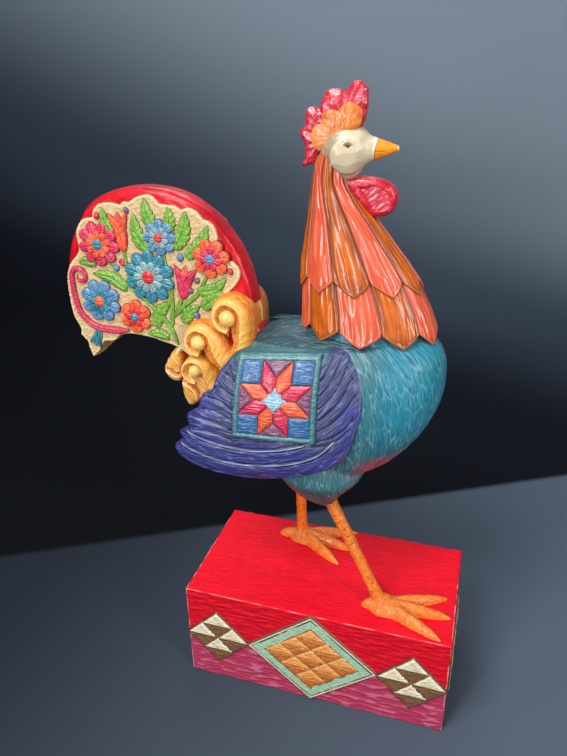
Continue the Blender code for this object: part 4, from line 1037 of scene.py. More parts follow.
def neck_columns():
    """Back, front and half width of the neck over its height, with the drawn corners eased."""
    table = np.array(NECK_DRAWN) * MM
    eased = []
    kernel = np.array([1, 2, 3, 4, 3, 2, 1]) / 16
    for column in (1, 2, 3):
        line = np.interp(NECK_STEPS, table[:, 0], table[:, column])
        for _ in range(2):
            line = np.convolve(np.pad(line, 3, mode="reflect", reflect_type="odd"), kernel, "valid")
        eased.append(line)
    return eased


NECK_BACK, NECK_FRONT, NECK_HALF = neck_columns()


def neck_section(height):
    back, front, half = (np.interp(height, NECK_STEPS, line) for line in (NECK_BACK, NECK_FRONT, NECK_HALF))
    return NECK_FOOT.x + (back + front) / 2 - NECK_DRAWN_X * MM, (front - back) / 2, half


def make_cape(name, node, slot, tip_height, top, stepped, odd_is_amber, seed):
    """A cape of feathers in columns, from its top to a row of points, folded under at the edge."""
    each, rows = 44, 110
    count = each * COLUMNS
    angles = turns(count)
    inside = (angles * COLUMNS / (2 * math.pi)) % 1 * 2 - 1
    column = np.floor(angles * COLUMNS / (2 * math.pi)).astype(int)
    tips = tip_height + POINT_DEPTH * np.abs(inside) ** 1.1 + 0.0012 * (chance(column, column, seed) - 0.5)
    # how the edge folds under: rise and offset of each ring
    under = ((0.0, -0.0007), (0.0004, -0.0014), (0.0012, -CAPE_THICKNESS), (0.006, -CAPE_THICKNESS - 0.0005))
    grid, flow, border, near_tip = [], [], [], []
    for row in range(rows + len(under)):
        share = min(1.0, row / (rows - 1)) ** 0.9
        heights = top + (tips - top) * share
        offset = np.zeros(count)
        if row >= rows:
            lift, offset_in = under[row - rows]
            heights = heights + lift
            offset = offset + offset_in
        middle, half_length, half_width = neck_section(heights)
        arc = math.pi * (half_length + half_width) / COLUMNS / 2
        edge = (1 - np.abs(inside)) * arc
        to_tip = (heights - tips) * 0.75
        nearest = np.minimum(edge, np.maximum(to_tip, 0) + 0.0004)
        along, across = heights, inside * arc + column * 0.031
        if row < rows:
            proud = CAPE_STEP * np.clip((0.72 * NECK_HEIGHT - heights) / 0.03, 0, 1) * stepped
            dome = 0.0007 * (1 - inside**2)
            groove = -0.0011 * (1 - ramp(edge, 0.0, 0.0009))
            lip = 0.0002 * bell(nearest - 0.0013, 0.0005)
            waves = chiselled(along, across, 0.024, 0.0032, seed, depth=0.0007) * ramp(nearest, 0.001, 0.003)
            bevel = -0.0005 * (1 - ramp(to_tip, 0.0, 0.0012))
            offset = offset + proud + dome + groove + lip + waves + bevel
        elif stepped:
            offset = offset + CAPE_STEP
        x = middle + (half_length + offset) * np.cos(angles)
        y = (half_width + offset) * np.sin(angles)
        grid.append(np.stack([x, y, NECK_FOOT.z + heights], 1))
        flow.append(np.stack([along, across, 0 * along], 1))
        border.append(nearest)
        near_tip.append(0.3 + 0.7 * (1 - ramp(to_tip, 0.005, 0.014)))
    cape = tube(name, grid)
    cape.data.materials.append(CORAL)
    cape.data.materials.append(AMBER)
    for face in cape.data.polygons:
        at = column[face.vertices[0] % count] if face.vertices[0] < count * len(grid) else 0
        if max(face.vertices) < count * len(grid):
            # the quad that closes a ring belongs to the last column
            lowest = min(v % count for v in face.vertices)
            highest = max(v % count for v in face.vertices)
            at = column[highest if highest - lowest > 1 else lowest]
        face.material_index = int(at % 2 == odd_is_amber)
    nearest = with_poles(border, 0.01, 0.01)
    lip = bell(nearest - 0.0011, 0.00045) * with_poles(near_tip)
    shade = 1 - ramp(nearest, 0.001, 0.006)
    dress(cape, None, node, slot, with_poles(flow), depth=0.0003, steps=8, lip=lip, shade=shade)


def make_neck():
    top = 1.06 * NECK_HEIGHT
    lower_top = UPPER_TIP_HEIGHT + CAPE_OVERLAP
    make_cape(
        "hackle_lower_carved", "hackle_lower", "coral", LOWER_TIP_HEIGHT, lower_top,
        stepped=False, odd_is_amber=False, seed=21,
    )
    make_cape(
        "hackle_upper_carved", "hackle_upper", "amber", UPPER_TIP_HEIGHT, top,
        stepped=True, odd_is_amber=True, seed=31,
    )


# Head

def head_shell():
    """The ball of the head, which goes over into the snout that carries the beak."""
    rows, sides = 150, 200
    angles = turns(sides)
    rings = []
    # where the ball goes over into the snout, as a share of its radius
    change = 0.66
    for share in np.linspace(0, 1, rows):
        x = -HEAD_RADIUS * 0.9995 + share * (HEAD_SNOUT + HEAD_RADIUS)
        round_half = HEAD_RADIUS * float(super_curve(np.clip(x / HEAD_RADIUS, -1, 1), 2))
        cone = BEAK_RADIUS + (HEAD_RADIUS * 0.95 - BEAK_RADIUS) * (HEAD_SNOUT - x) / HEAD_SNOUT * 0.83
        blend = float(ramp(x / HEAD_RADIUS, change - 0.25, change + 0.25))
        half = round_half * (1 - blend) + max(cone, BEAK_RADIUS) * blend
        wide = half * (HEAD_WIDTH / 2 / HEAD_RADIUS * (1 - blend) + 0.95 * blend)
        lift = SNOUT_LIFT * float(ramp(x, 0.3 * HEAD_RADIUS, HEAD_SNOUT))
        tilt = 0.18 * max(0.0, x / HEAD_SNOUT)
        c, s = np.cos(angles), np.sin(angles)
        rings.append(np.stack([
            HEAD_CENTRE.x + x + half * tilt * c, wide * s, HEAD_CENTRE.z + lift + half * c,
        ], 1))
    head = tube("head_carved", rings)
    outward(head)
    return head


def eye_carving(x, z, side):
    """The opening of the eye, the upper lid, the crease over it and the bag under the eye."""
    half_length, rise, drop = 0.0028, 0.0014, 0.0010
    ex, ez = x - EYE_DRAWN[0] * MM, z - EYE_DRAWN[1] * MM
    bow = 1 - np.clip(ex / half_length, -1, 1) ** 2
    upper, lower = rise * bow, -drop * bow
    open_eye = ramp(upper - ez, -0.0003, 0.0003) * ramp(ez - lower, -0.0003, 0.0003)
    open_eye = open_eye * (np.abs(ex) < 0.0030) * side
    lid = bell(ez - upper - 0.0004, 0.00035) * (1 - ramp(np.abs(ex), 0.0030, 0.0036)) * side
    crease = bell(ez - upper * 1.2 - 0.0015, 0.0003) * (np.abs(ex) < 0.0031) * side
    bag = bell(ez - lower + 0.0004, 0.0003) * (np.abs(ex) < half_length) * side
    return open_eye, lid, crease, bag


def make_head():
    head = head_shell()
    x, y, z = points_of(head).T
    side = np.abs(y) > 0.3 * HEAD_WIDTH / 2
    open_eye, lid, crease, bag = eye_carving(x, z, side)
    # the raised disc of the cheek, which fades towards the beak
    cx, cz = x - CHEEK_DRAWN[0] * MM, z - CHEEK_DRAWN[1] * MM
    disc = np.hypot(cx, cz)
    cheek = (1 - ramp(disc, 0.0088, 0.0106)) * side
    fade = ramp(-cx - 0.6 * cz, -0.006, 0.004)
    heights = 0.0004 * lid - 0.0005 * open_eye - 0.00025 * crease
    heights += chiselled(x, z, 0.009, 0.006, seed=41, depth=0.00035)
    swell(head, heights + 0.0008 * cheek * fade * (1 - open_eye))
    nape = ramp(disc, 0.0098, 0.0112) * (1 - ramp(x, -0.002, 0.009)) * side
    dress(
        head, IVORY, "head", "ivory", (x + 0.3 * z, z, y), depth=0.0002, steps=6,
        cheek=cheek * (0.45 + 0.55 * fade), nape=nape,
        ring=bell(disc - 0.0102, 0.0005) * side * (0.25 + 0.75 * fade),
        lip=ramp(x, HEAD_CENTRE.x + HEAD_SNOUT - 0.0014, HEAD_CENTRE.x + HEAD_SNOUT - 0.0006),
        line=np.maximum(np.maximum(0.8 * lid, 0.42 * crease), np.maximum(0.45 * bag, 0.5 * open_eye)),
    )
    make_beak()
    make_eyes()


def make_beak():
    rings = []
    angles = turns(64)
    shares = np.array([0.0, 0.3, 0.65, 0.92, 1.0])
    sizes, lifts = np.array([1.0, 0.76, 0.42, 0.14, 0.08]), np.array([0.0, 0.2, 0.6, 0.8, 0.8])
    for share in np.concatenate([np.linspace(0, 0.93, 50), [0.95, 0.965, 0.98, 0.99, 0.997, 1.0]]):
        size, lift = np.interp(share, shares, sizes), np.interp(share, shares, lifts)
        half = BEAK_TIP_RADIUS + (BEAK_RADIUS - BEAK_TIP_RADIUS) * size
        half = half * float(super_curve(max(0.0, share - 0.93) / 0.0703, 2.0))
        c, s = np.cos(angles), np.sin(angles)
        # the lower half is pinched in under the line of the mouth
        mouth = bell(c + 0.18, 0.07) * (1 - ramp(share, 0.75, 0.95))
        reach = half * (1 - 0.07 * mouth)
        rings.append(np.stack([
            HEAD_CENTRE.x + HEAD_SNOUT + GAP + BEAK_LENGTH * share + reach * 0.18 * (1 - share) * c,
            reach * 0.85 * s,
            HEAD_CENTRE.z + SNOUT_LIFT + 0.001 * lift + reach * c,
        ], 1))
    beak = tube("beak_carved", rings)
    outward(beak)
    x, y, z = points_of(beak).T
    swell(beak, chiselled(x, z * 1.2 + y * 0.5, 0.006, 0.003, seed=51, depth=0.0002))
    tip = ramp(x - HEAD_CENTRE.x - HEAD_SNOUT, 0.9 * BEAK_LENGTH, BEAK_LENGTH)
    dress(beak, BEAK, "beak", "beak_orange", (x, z, y), depth=0.00012, steps=5, tip=tip)


def ball(name, radius, centre, deep=1.0):
    """A ball, or one that is less deep than wide."""
    angles = turns(32)
    rings = []
    for lean in np.linspace(0.04, math.pi - 0.04, 20):
        reach = radius * math.sin(lean)
        rings.append(np.stack([
            centre[0] + reach * np.cos(angles),
            centre[1] + reach * deep * np.sin(angles),
            np.full(len(angles), centre[2] + radius * math.cos(lean)),
        ], 1))
    return tube(name, rings)


def make_eyes():
    """A brown iris with a black pupil, between the lids."""
    iris = (
        Coat("eye_iris", (140, 104, 60), 0.2, 0.8, 0.05)
        .mottle((70, 46, 24), 1.2, 0.6)
        .mark("pupil", (10, 8, 8), 1.0, 0.4, 0.6)
        .finish(0.02)
    )
    reach = HEAD_WIDTH / 2 * 0.93
    for side, way in SIDES.items():
        centre = (EYE_DRAWN[0] * MM, way * (reach - 0.0001), EYE_DRAWN[1] * MM + 0.0002)
        eye = ball("eye_bead_" + side, 0.0013, centre)
        x, _, z = points_of(eye).T
        pupil = 1 - ramp(np.hypot(x - centre[0], z - centre[2]), 0.0005, 0.0007)
        dress(eye, iris, "eye_" + side, "eye_black", None, depth=0.0002, steps=4, pupil=pupil)


def make_comb():
    outline = smooth(metres(COMB_DRAWN), 8, COMB_SHARP)
    comb = plate("comb_carved", outline, COMB_THICKNESS, COMB_ROUNDING, y=0, size=0.0006)
    carve_lobes(comb, COMB_DRAWN, (0.0, 322), 61, 0.0007)
    x, y, z = points_of(comb).T
    inset = to_edge(x, z, smooth(metres(COMB_DRAWN), 6))
    face = ramp(np.abs(y), 0.3 * COMB_THICKNESS, 0.42 * COMB_THICKNESS) * ramp(inset, 0.0012, 0.003)
    dress(comb, CRIMSON, "comb", "crimson", (x + z, z - x, y), depth=0.0003, steps=8, face=face)
    for side, way in SIDES.items():
        y = way * (COMB_THICKNESS / 2 + GAP + CREST_THICKNESS / 2)
        outline = smooth(metres(CREST_DRAWN), 8, CREST_SHARP)
        crest = plate("crest_carved_" + side, outline, CREST_THICKNESS, CREST_ROUNDING, y, size=0.00045)
        carve_lobes(crest, CREST_DRAWN, (2, 322), 71, 0.0002)
        x, y, z = points_of(crest).T
        low = (1 - ramp(x, -0.006, 0.0)) * (1 - ramp(z, 0.33, 0.336))
        dress(crest, CREST, "crest_" + side, "crest_orange", (z, x, y), depth=0.0003, steps=8, low=low)


def carve_lobes(piece, drawn, root, seed, depth):
    """Chisel marks that fan out from the root over a lobed plate, whose faces fall to its edge."""
    x, _, z = points_of(piece).T
    dx, dz = x - root[0] * MM, z - root[1] * MM
    marks = gouges(np.hypot(dx, dz), np.arctan2(dz, dx) * 0.02, 0.0066, 0.0046, seed)
    fall = 0.0006 * (ramp(to_edge(x, z, smooth(metres(drawn), 4)), 0.0, 0.005) - 1)
    swell(piece, depth * (marks - 0.7) + fall * facing_sideways(piece, 0.3, 0.9))


def make_wattle():
    """A drop whose face is sunk inside a rim, which is wider at its root."""
    outline = smooth(metres(WATTLE_DRAWN), 8)
    wattle = plate("wattle_carved", outline, WATTLE_THICKNESS, WATTLE_ROUNDING, y=0, size=0.0006)
    x, y, z = points_of(wattle).T
    inset = to_edge(x, z, outline) - WATTLE_ROUNDING - 0.0022 * (1 - ramp(x, 0.017, 0.024))
    facing = facing_sideways(wattle, 0.6, 0.9)
    marks = chiselled(x * 0.8 + z * 0.6, z * 0.8 - x * 0.6, 0.006, 0.0022, seed=81, depth=0.00022)
    sunk = 0.0005 * ramp(inset, -0.0003, 0.0006) + 0.0004 * bell(inset, 0.0004)
    swell(wattle, marks * ramp(inset, -0.0005, 0.0006) - sunk * facing)
    face = ramp(inset, 0, 0.001) * facing
    dress(wattle, CRIMSON, "wattle", "crimson", (x + 0.5 * z, z, y), depth=0.0003, steps=8, face=face)


# Wings

def wing_reach(x, z):
    """How far from the bird's middle the wing's outer face lies."""
    tall = (BODY_RISE + BODY_DROP) / 2
    t = (z - (BODY_LIFT - (BODY_DROP - BODY_RISE) / 2 - 0.0135)) / (tall + 0.0185)
    ahead = np.maximum(0.0, x - WING_PLACE.x) / WING_LENGTH
    behind = np.maximum(0.0, WING_PLACE.x - x) / WING_LENGTH
    lean = 1 - 0.234 * ahead**1.5 - 0.03 * behind
    return (BODY_WIDTH / 2 + WING_STANDOFF) * lean * super_curve(np.minimum(np.abs(t), 0.97), 2.2)


def wing_shell(side, outline):
    """The wing before its carving: an outer face, a rounded edge and the pad on the body."""
    middle = np.array([WING_PLACE.x, WING_PLACE.z])
    # share of the outline, and how deep the skin lies under the outer face there
    faces = [(share, 0.0005 * max(0.0, share - 0.8) ** 2 / 0.0064) for share in np.linspace(0.02, 0.93, 96)]
    edge = ((0.95, 0.0008), (0.965, 0.0014), (0.98, 0.0023), (0.99, 0.0032), (0.997, 0.0041), (1.0, 0.005))
    under = ((0.998, 0.006), (0.985, WING_RIM), (0.9, 0.0105), (0.62, WING_PAD), (0.3, WING_PAD))
    rings = []
    for share, depth in (*faces, *edge, *under):
        x, z = (middle + (outline - middle) * share).T
        rings.append(np.stack([x, SIDES[side] * (wing_reach(x, z) - depth), z], 1))
    wing = tube("wing_carved_" + side, rings)
    outward(wing)
    return wing


def wing_lines(x, z):
    """How high the lines between the feathers stand, and how far their paint is rubbed pale."""
    heights, pale = np.zeros(len(x)), np.zeros(len(x))
    for line in WING_RIDGES_DRAWN:
        distance, along = to_line(x, z, line_through(line))
        fade = ramp(along, 0.0, 0.04) * ramp(1 - along, 0.0, 0.04)
        heights += 0.0005 * (bell(distance, 0.0005) - bell(distance - 0.0014, 0.0006)) * fade
        pale = np.maximum(pale, bell(distance, 0.0005) * fade)
    for line in WING_GROOVES_DRAWN:
        distance, along = to_line(x, z, line_through(line))
        fade = ramp(1 - along, 0.0, 0.12)
        heights -= (0.0011 * bell(distance, 0.0005) + 0.0004 * bell(distance, 0.0018)) * fade
        pale = np.maximum(pale, 0.6 * bell(distance - 0.0011, 0.0004) * fade)
    return heights, pale


def wing_flow(x, z):
    """Along and across the feathers, which sweep round the square's front and fan out behind it."""
    fan_x, fan_z, fan_middle_z, fan_radius = -0.056, 0.137, 0.135, 0.07
    sweep_x, sweep_bend, sweep_slant = -0.06, 4.3, 0.5
    behind = (x < fan_x) & (z > fan_z)
    along = np.where(behind, np.hypot(x, z - fan_middle_z), x + sweep_slant * (z - 0.13))
    swept = (z - sweep_bend * (x - sweep_x) ** 2) * (1 - 3 * np.maximum(0, x))
    across = np.where(behind, np.arctan2(z - fan_middle_z, -x) * fan_radius, swept)
    return along, across


def make_wing(side):
    outline = smooth(metres(WING_DRAWN), 26, WING_SHARP)
    wing = wing_shell(side, outline)
    x, y, z = points_of(wing).T
    reach = wing_reach(x, z)
    shown = ramp(np.abs(y), reach - 0.004, reach - 0.002)
    rim = to_edge(x, z, outline)
    heights, pale = wing_lines(x, z)
    along, across = wing_flow(x, z)
    cuts = chiselled(along, across, length=0.020, width=0.0026, seed=91, depth=0.0004)
    swell(wing, (heights + cuts) * shown)
    near_panel = (1 - ramp(np.abs(x + 0.027), 0.034, 0.05)) * ramp(z, 0.128, 0.142)
    near_panel = np.maximum(near_panel, ramp(z, 0.16, 0.18) * ramp(x, -0.01, 0.0))
    wash = bell(rim - 0.0008, 0.0009) * ramp(x, 0.005, 0.02) * (1 - ramp(z, 0.185, 0.195))
    saddle = ramp(z + 0.0708 * (0.027 - x), 0.1938, 0.1946) * (x < 0.0045) * (x > -0.06)
    dress(
        wing, WING_INDIGO, "wing_" + side, "indigo", (along, across, 0 * z), depth=0.0003, steps=16,
        pale=np.maximum(pale, 0.8 * wash) * shown, inner=near_panel, saddle=saddle,
        rim=(1 - ramp(rim, 0.0, 0.0025)) * ramp(x, 0.0, 0.02),
    )


# Patchwork

def walked(corners, each):
    """Points along the sides of a polygon, so many to a side."""
    return np.array([
        corner + (after - corner) * step / each
        for corner, after in zip(corners, [*corners[1:], corners[0]]) for step in range(each)
    ])


def patch(name, corners, lift_to, height, coat, node, slot, seed):
    """A padded polygon of patchwork: corners in (a, b), carried to its place by lift_to(a, b, height)."""
    corners = np.array(corners, float)
    closed = [*corners, corners[0]]
    area = sum(a[0] * b[1] - a[1] * b[0] for a, b in zip(closed, closed[1:]))
    seam = -0.00045
    wide = drawn_in(corners, seam) if area > 0 else drawn_in(corners[::-1], seam)[::-1]
    walk, skirt = walked(corners, 14), walked(wide, 14)
    centre = corners.mean(0)
    shares = np.concatenate([np.linspace(0.04, 0.8, 12), [0.88, 0.94, 0.975, 1.0]])
    flat = np.concatenate([centre + (walk - centre) * share for share in shares] + [walk, skirt, skirt])
    along, across = flat.T
    edge = to_edge(along, across, corners)
    lift = height * (0.25 + 0.75 * ramp(edge, 0, 0.0016))
    marks = chiselled(along + 0.3 * seed, across, 0.009, 0.0016, seed, depth=0.0003)
    lift += marks * ramp(edge, 0.0003, 0.001)
    drawn = len(walk) * len(shares)
    lift[drawn:] = np.repeat([0.00015, 0.0001, -0.0006], len(walk))
    points = np.array([lift_to(*spot) for spot in zip(along, across, lift)])
    piece = tube(name, points.reshape(-1, len(walk), 3))
    flow = with_poles([np.stack([along, across, 0 * along], 1)])
    ink = with_poles([np.zeros(drawn), np.ones(3 * len(walk))], 0.0, 1.0)
    return dress(piece, coat, node, slot, flow, depth=0.00015, steps=5, ink=ink)


def diamond(half_width, half_height):
    """The corners of a diamond."""
    return np.array([(half_width, 0), (0, half_height), (-half_width, 0), (0, -half_height)])


def star_patches(half):
    """The common star of eight diamonds in a square, with squares in its corners.

    Gives name, colour and corners in the square from -half to half.
    """
    seam = 0.00032
    side = 2 * half / (2 + math.sqrt(2))
    slant = side / math.sqrt(2)
    quarter_shapes = (
        ("ray_{}a", "patch_crimson", ((0, 0), (side, 0), (half, slant), (slant, slant))),
        ("ray_{}b", "patch_orange", ((0, 0), (slant, slant), (slant, half), (0, side))),
        ("corner_{}", "patch_blue", ((slant, slant), (half, slant), (half, half), (slant, half))),
        ("wedge_{}", "patch_plum", ((side, 0), (half, -slant), (half, slant))),
    )
    shapes = []
    for quarter, (c, s) in enumerate(((1, 0), (0, 1), (-1, 0), (0, -1))):
        for name, colour, corners in quarter_shapes:
            turned = np.array([(a * c - b * s, a * s + b * c) for a, b in corners])
            shapes.append((name.format(quarter), colour, drawn_in(turned, seam)))
    shapes.append(("middle", "patch_ice", drawn_in(diamond(0.36 * half, 0.36 * half), seam)))
    return shapes


def drawn_in(corners, seam):
    """A polygon drawn in on all sides by the width of a seam."""
    count = len(corners)
    out = []
    for k in range(count):
        before, here, after = corners[k - 1], corners[k], corners[(k + 1) % count]
        first, second = here - before, after - here
        first, second = first / np.hypot(*first), second / np.hypot(*second)
        left = np.array([-first[1] - second[1], first[0] + second[0]])
        left = left / np.hypot(*left)
        lean = max(0.25, abs(left[0] * -first[1] + left[1] * first[0]))
        out.append(here + left * min(seam / lean, 3 * seam))
    return np.array(out)


def make_wing_panel(side):
    way = SIDES[side]
    corners = [Vector(corner) for corner in metres(PANEL_CORNERS_DRAWN)]
    width = (corners[1] - corners[0]).length

    def on_panel(across, down):
        return corners[0].lerp(corners[1], across).lerp(corners[3].lerp(corners[2], across), down)

    ground = PANEL_LIFT - 0.0006
    steps = 76
    stops = np.linspace(0, 1, steps)
    back, front, on_border = [], [], []
    for across in stops:
        for down in stops:
            x, z = on_panel(across, down)
            edge = min(across, 1 - across, down, 1 - down) * width
            inner = edge - PANEL_BORDER_WIDTH
            lift = PANEL_BORDER_LIFT * float(ramp(edge, -0.0006, 0.0011))
            lift -= (PANEL_BORDER_LIFT - ground) * float(ramp(inner, -0.0004, 0.0004))
            reach = float(wing_reach(x, z))
            front.append((x, way * (reach + lift), z))
            back.append((x, way * (reach + GAP / 2), z))
            on_border.append(inner < 0)
    count = steps * steps
    faces = grid_faces(steps, steps, False)
    faces += [face[::-1] for face in grid_faces(steps, steps, False, count)]
    walk = [i * steps for i in range(steps - 1)] + [count - steps + j for j in range(steps - 1)]
    walk += [count - 1 - i * steps for i in range(steps - 1)] + [steps - 1 - j for j in range(steps - 1)]
    for a, b in zip(walk, walk[1:] + walk[:1]):
        faces.append((a, b, b + count, a + count))
    panel = mesh_object("wing_panel_carved_" + side, back + front, faces)
    panel.data.materials.append(PAINTS["patch_border"])
    panel.data.materials.append(PAINTS["patch_plum"])
    on_border = on_border * 2
    for face in panel.data.polygons:
        face.material_index = 0 if any(on_border[v] for v in face.vertices) else 1
    outward(panel)
    x, _, z = points_of(panel).T
    marks = chiselled(x, z + 0.1 * x, 0.008, 0.0018, seed=101, depth=0.0003)
    swell(panel, marks * (np.arange(2 * count) >= count))
    dress(panel, None, "wing_panel_" + side, "plum", (x, z, 0 * z), depth=0.0002, steps=6)

    def lift_to(a, b, height):
        x, z = on_panel(0.5 + a / width, 0.5 - b / width)
        return (x, way * (float(wing_reach(x, z)) + ground + height), z)

    for name, colour, shape in star_patches(width / 2 - PANEL_BORDER_WIDTH):
        height = 0.0016 if name == "middle" else 0.0011
        patch(f"wing_{name}_{side}", shape, lift_to, height, PAINTS[colour], None, "plum", 103)


# Tail

def make_tail():
    outline = smooth(metres(TAIL_DRAWN), 8, TAIL_SHARP)
    tail = plate("tail_carved", outline, TAIL_THICKNESS, TAIL_ROUNDING, y=0, size=0.0014)
    x, y, z = points_of(tail).T
    normals = normals_of(tail)
    under = (normals[:, 2] < -0.35) & (np.abs(normals[:, 1]) < 0.8) & (x > -0.192) & (z < 0.2)
    dx, dz = x + 0.125, z - 0.215
    along, across = np.arctan2(dz, dx) * 0.07, np.hypot(dx, dz) + 0.8 * y
    swell(tail, chiselled(along, across, 0.014, 0.005, seed=111, depth=0.0003))
    dress(tail, TAIL_RED, "tail", "red_gloss", (along, across, y), depth=0.0004, steps=8, under=under)


def make_tail_panels():
    outline = smooth(metres(TAIL_PANEL_DRAWN), 6, TAIL_PANEL_SHARP)
    face = TAIL_THICKNESS / 2 + GAP
    for side, way in SIDES.items():
        y = way * (face + TAIL_PANEL_THICKNESS / 2)
        name = "tail_panel_carved_" + side
        panel = plate(name, outline, TAIL_PANEL_THICKNESS, TAIL_PANEL_ROUNDING, y, size=0.0006)
        x, y, z = points_of(panel).T
        from_bead = to_edge(x, z, outline) - 0.0012
        front = way * y > (TAIL_THICKNESS + TAIL_PANEL_THICKNESS) / 2
        marks = chiselled(x, z, 0.003, 0.003, seed=121, depth=0.00022)
        swell(panel, (marks + 0.00022 * bell(from_bead, 0.0007)) * front)
        # the back of the panel sinks into the rounded edge of the slab
        points = points_of(panel)
        points[:, 1] -= way * 0.0035 * (way * points[:, 1] < face + 0.0004)
        place(panel, points)
        edge = bell(from_bead, 0.0009)
        dress(panel, SAND, "tail_panel_" + side, "sandy_cream", (x, z, y), depth=0.0002, steps=6, edge=edge)


# Painted relief on the tail: stems with big blossoms, tulips, toothed leaves, scrolls and berries

RELIEF_Y = TAIL_THICKNESS / 2 + GAP + TAIL_PANEL_THICKNESS
SKIRT = 0.0004


def raised(name, way, rings, heights, coat, grain, zipped=False):
    """A raised shape over the panel from rings of (x, z) and their heights, in a thin dark outline.

    The last ring is the edge of the shape; zipped shapes close along a line and not to a point.
    """
    rings, heights = [np.asarray(ring) for ring in rings], [np.asarray(height) for height in heights]
    columns = len(rings[0])
    edge, inner = rings[-1], rings[-2]
    out = edge - inner
    out = out / np.maximum(np.hypot(out[:, 0], out[:, 1]), 1e-9)[:, None]
    rings += [edge, edge + out * SKIRT, edge + out * SKIRT]
    heights += [np.full(columns, level) for level in (0.00022, 0.00016, -0.0005)]
    flat, lift = np.concatenate(rings), np.concatenate(heights)
    points = np.stack([flat[:, 0], way * (RELIEF_Y + lift), flat[:, 1]], 1)
    rows = len(rings)
    ink = np.repeat([0.0] * (rows - 3) + [1.0] * 3, columns)
    if zipped:
        faces = grid_faces(rows, columns, True)
        half = columns // 2
        last = (rows - 1) * columns
        for j in range(half):
            a, b = (columns - j) % columns, columns - j - 1
            if j:
                faces += [(j, a, b, j + 1), (last + j, last + j + 1, last + b, last + a)]
            else:
                faces += [(0, b, 1), (last, last + 1, last + b)]
        faces = [face for face in faces if len(set(face)) == len(face)]
        piece = mesh_object(name, points, faces)
    else:
        piece = tube(name, points.reshape(rows, columns, 3))
        ink = np.append(ink, [0.0, 1.0])
    x, y, z = points_of(piece).T
    c, s = math.cos(grain), math.sin(grain)
    flow = (x * c + z * s, z * c - x * s, y)
    return dress(piece, coat, None, "sandy_cream", flow, depth=0.00018, steps=4, ink=ink)


def sprig(name, way, path, half_widths, coat, height, vein, teeth=0, steps=6):
    """A raised shape along a path; half_widths gives its half width at a share of its length."""
    spine = line_through(path, steps)
    lengths = np.concatenate([[0], np.cumsum(np.hypot(*np.diff(spine, axis=0).T))])
    shares = lengths / lengths[-1]

    def along(s):
        x, z = np.interp(s, shares, spine[:, 0]), np.interp(s, shares, spine[:, 1])
        start, end = spine[1] - spine[0], spine[-1] - spine[-2]
        start, end = start / np.hypot(*start), end / np.hypot(*end)
        before, after = np.minimum(s, 0) * lengths[-1], np.maximum(s - 1, 0) * lengths[-1]
        return np.stack([x + start[0] * before + end[0] * after, z + start[1] * before + end[1] * after], -1)

    count = max(24, int(lengths[-1] / 0.0007))
    s = np.linspace(0, 1, count)
    ahead = along(s + 0.01) - along(s - 0.01)
    beside = np.stack([-ahead[:, 1], ahead[:, 0]], 1) / np.hypot(ahead[:, 0], ahead[:, 1])[:, None]
    half = half_widths(s) * MM
    if teeth:
        saw = (s * teeth) % 1
        half = half * (1 - 0.26 * (1 - saw) * ramp(s, 0.08, 0.2) * (1 - ramp(s, 0.9, 1)))
    rings, heights = [], []
    tip = min(0.1, 0.0012 / lengths[-1])
    for r in (0.03, 0.12, 0.22, 0.36, 0.5, 0.64, 0.78, 0.88, 0.95, 1.0):
        spot = along(tip * (1 - r) + s * (1 - 2 * tip * (1 - r)))
        off = beside * (half * r)[:, None]
        rings.append(np.concatenate([spot + off, (spot - off)[-2:0:-1]]))
        crown = height * (0.25 + 0.75 * math.sqrt(max(0.0, 1 - r**3)))
        dent = vein * bell(r, 0.16)
        if teeth:
            rib = np.abs((s * teeth - r * 0.5) % 1 - 0.5) * 2
            dent = dent + 0.0004 * (1 - ramp(rib, 0.0, 0.4)) * float(ramp(r, 0.1, 0.3))
        lift = crown * (0.45 + 0.55 * np.minimum(1, half / (0.0008 + 0.4 * half.max()))) - dent
        heights.append(np.concatenate([lift, lift[-2:0:-1]]))
    direction = along(1.0) - along(0.0)
    return raised(name, way, rings, heights, coat, math.atan2(direction[1], direction[0]), zipped=True)


def leaf(name, way, base, tip, width, coat, bend=0.0, teeth=6, height=0.0019):
    """A leaf with a midrib, side veins and a toothed edge."""
    base, tip = np.array(base, float), np.array(tip, float)
    beside = np.array([base[1] - tip[1], tip[0] - base[0]])
    path = [base, base * 0.5 + tip * 0.5 + beside * bend, tip]

    def half_widths(s):
        return width / 2 * np.sin(math.pi * np.clip(s**0.8 * 0.96 + 0.04, 0, 1)) ** 0.85 + 0.1

    return sprig(name, way, path, half_widths, coat, height, 0.0006, teeth, steps=8)


def stem(name, way, path, width, coat, height=0.0013, taper=0.5):
    """A stem or scroll that thins towards its end."""

    def half_widths(s):
        return width / 2 * (1 - taper * s) * np.minimum(1, 8 * np.minimum(s, 1 - s) + 0.3)

    return sprig(name, way, path, half_widths, coat, height, 0.0004)


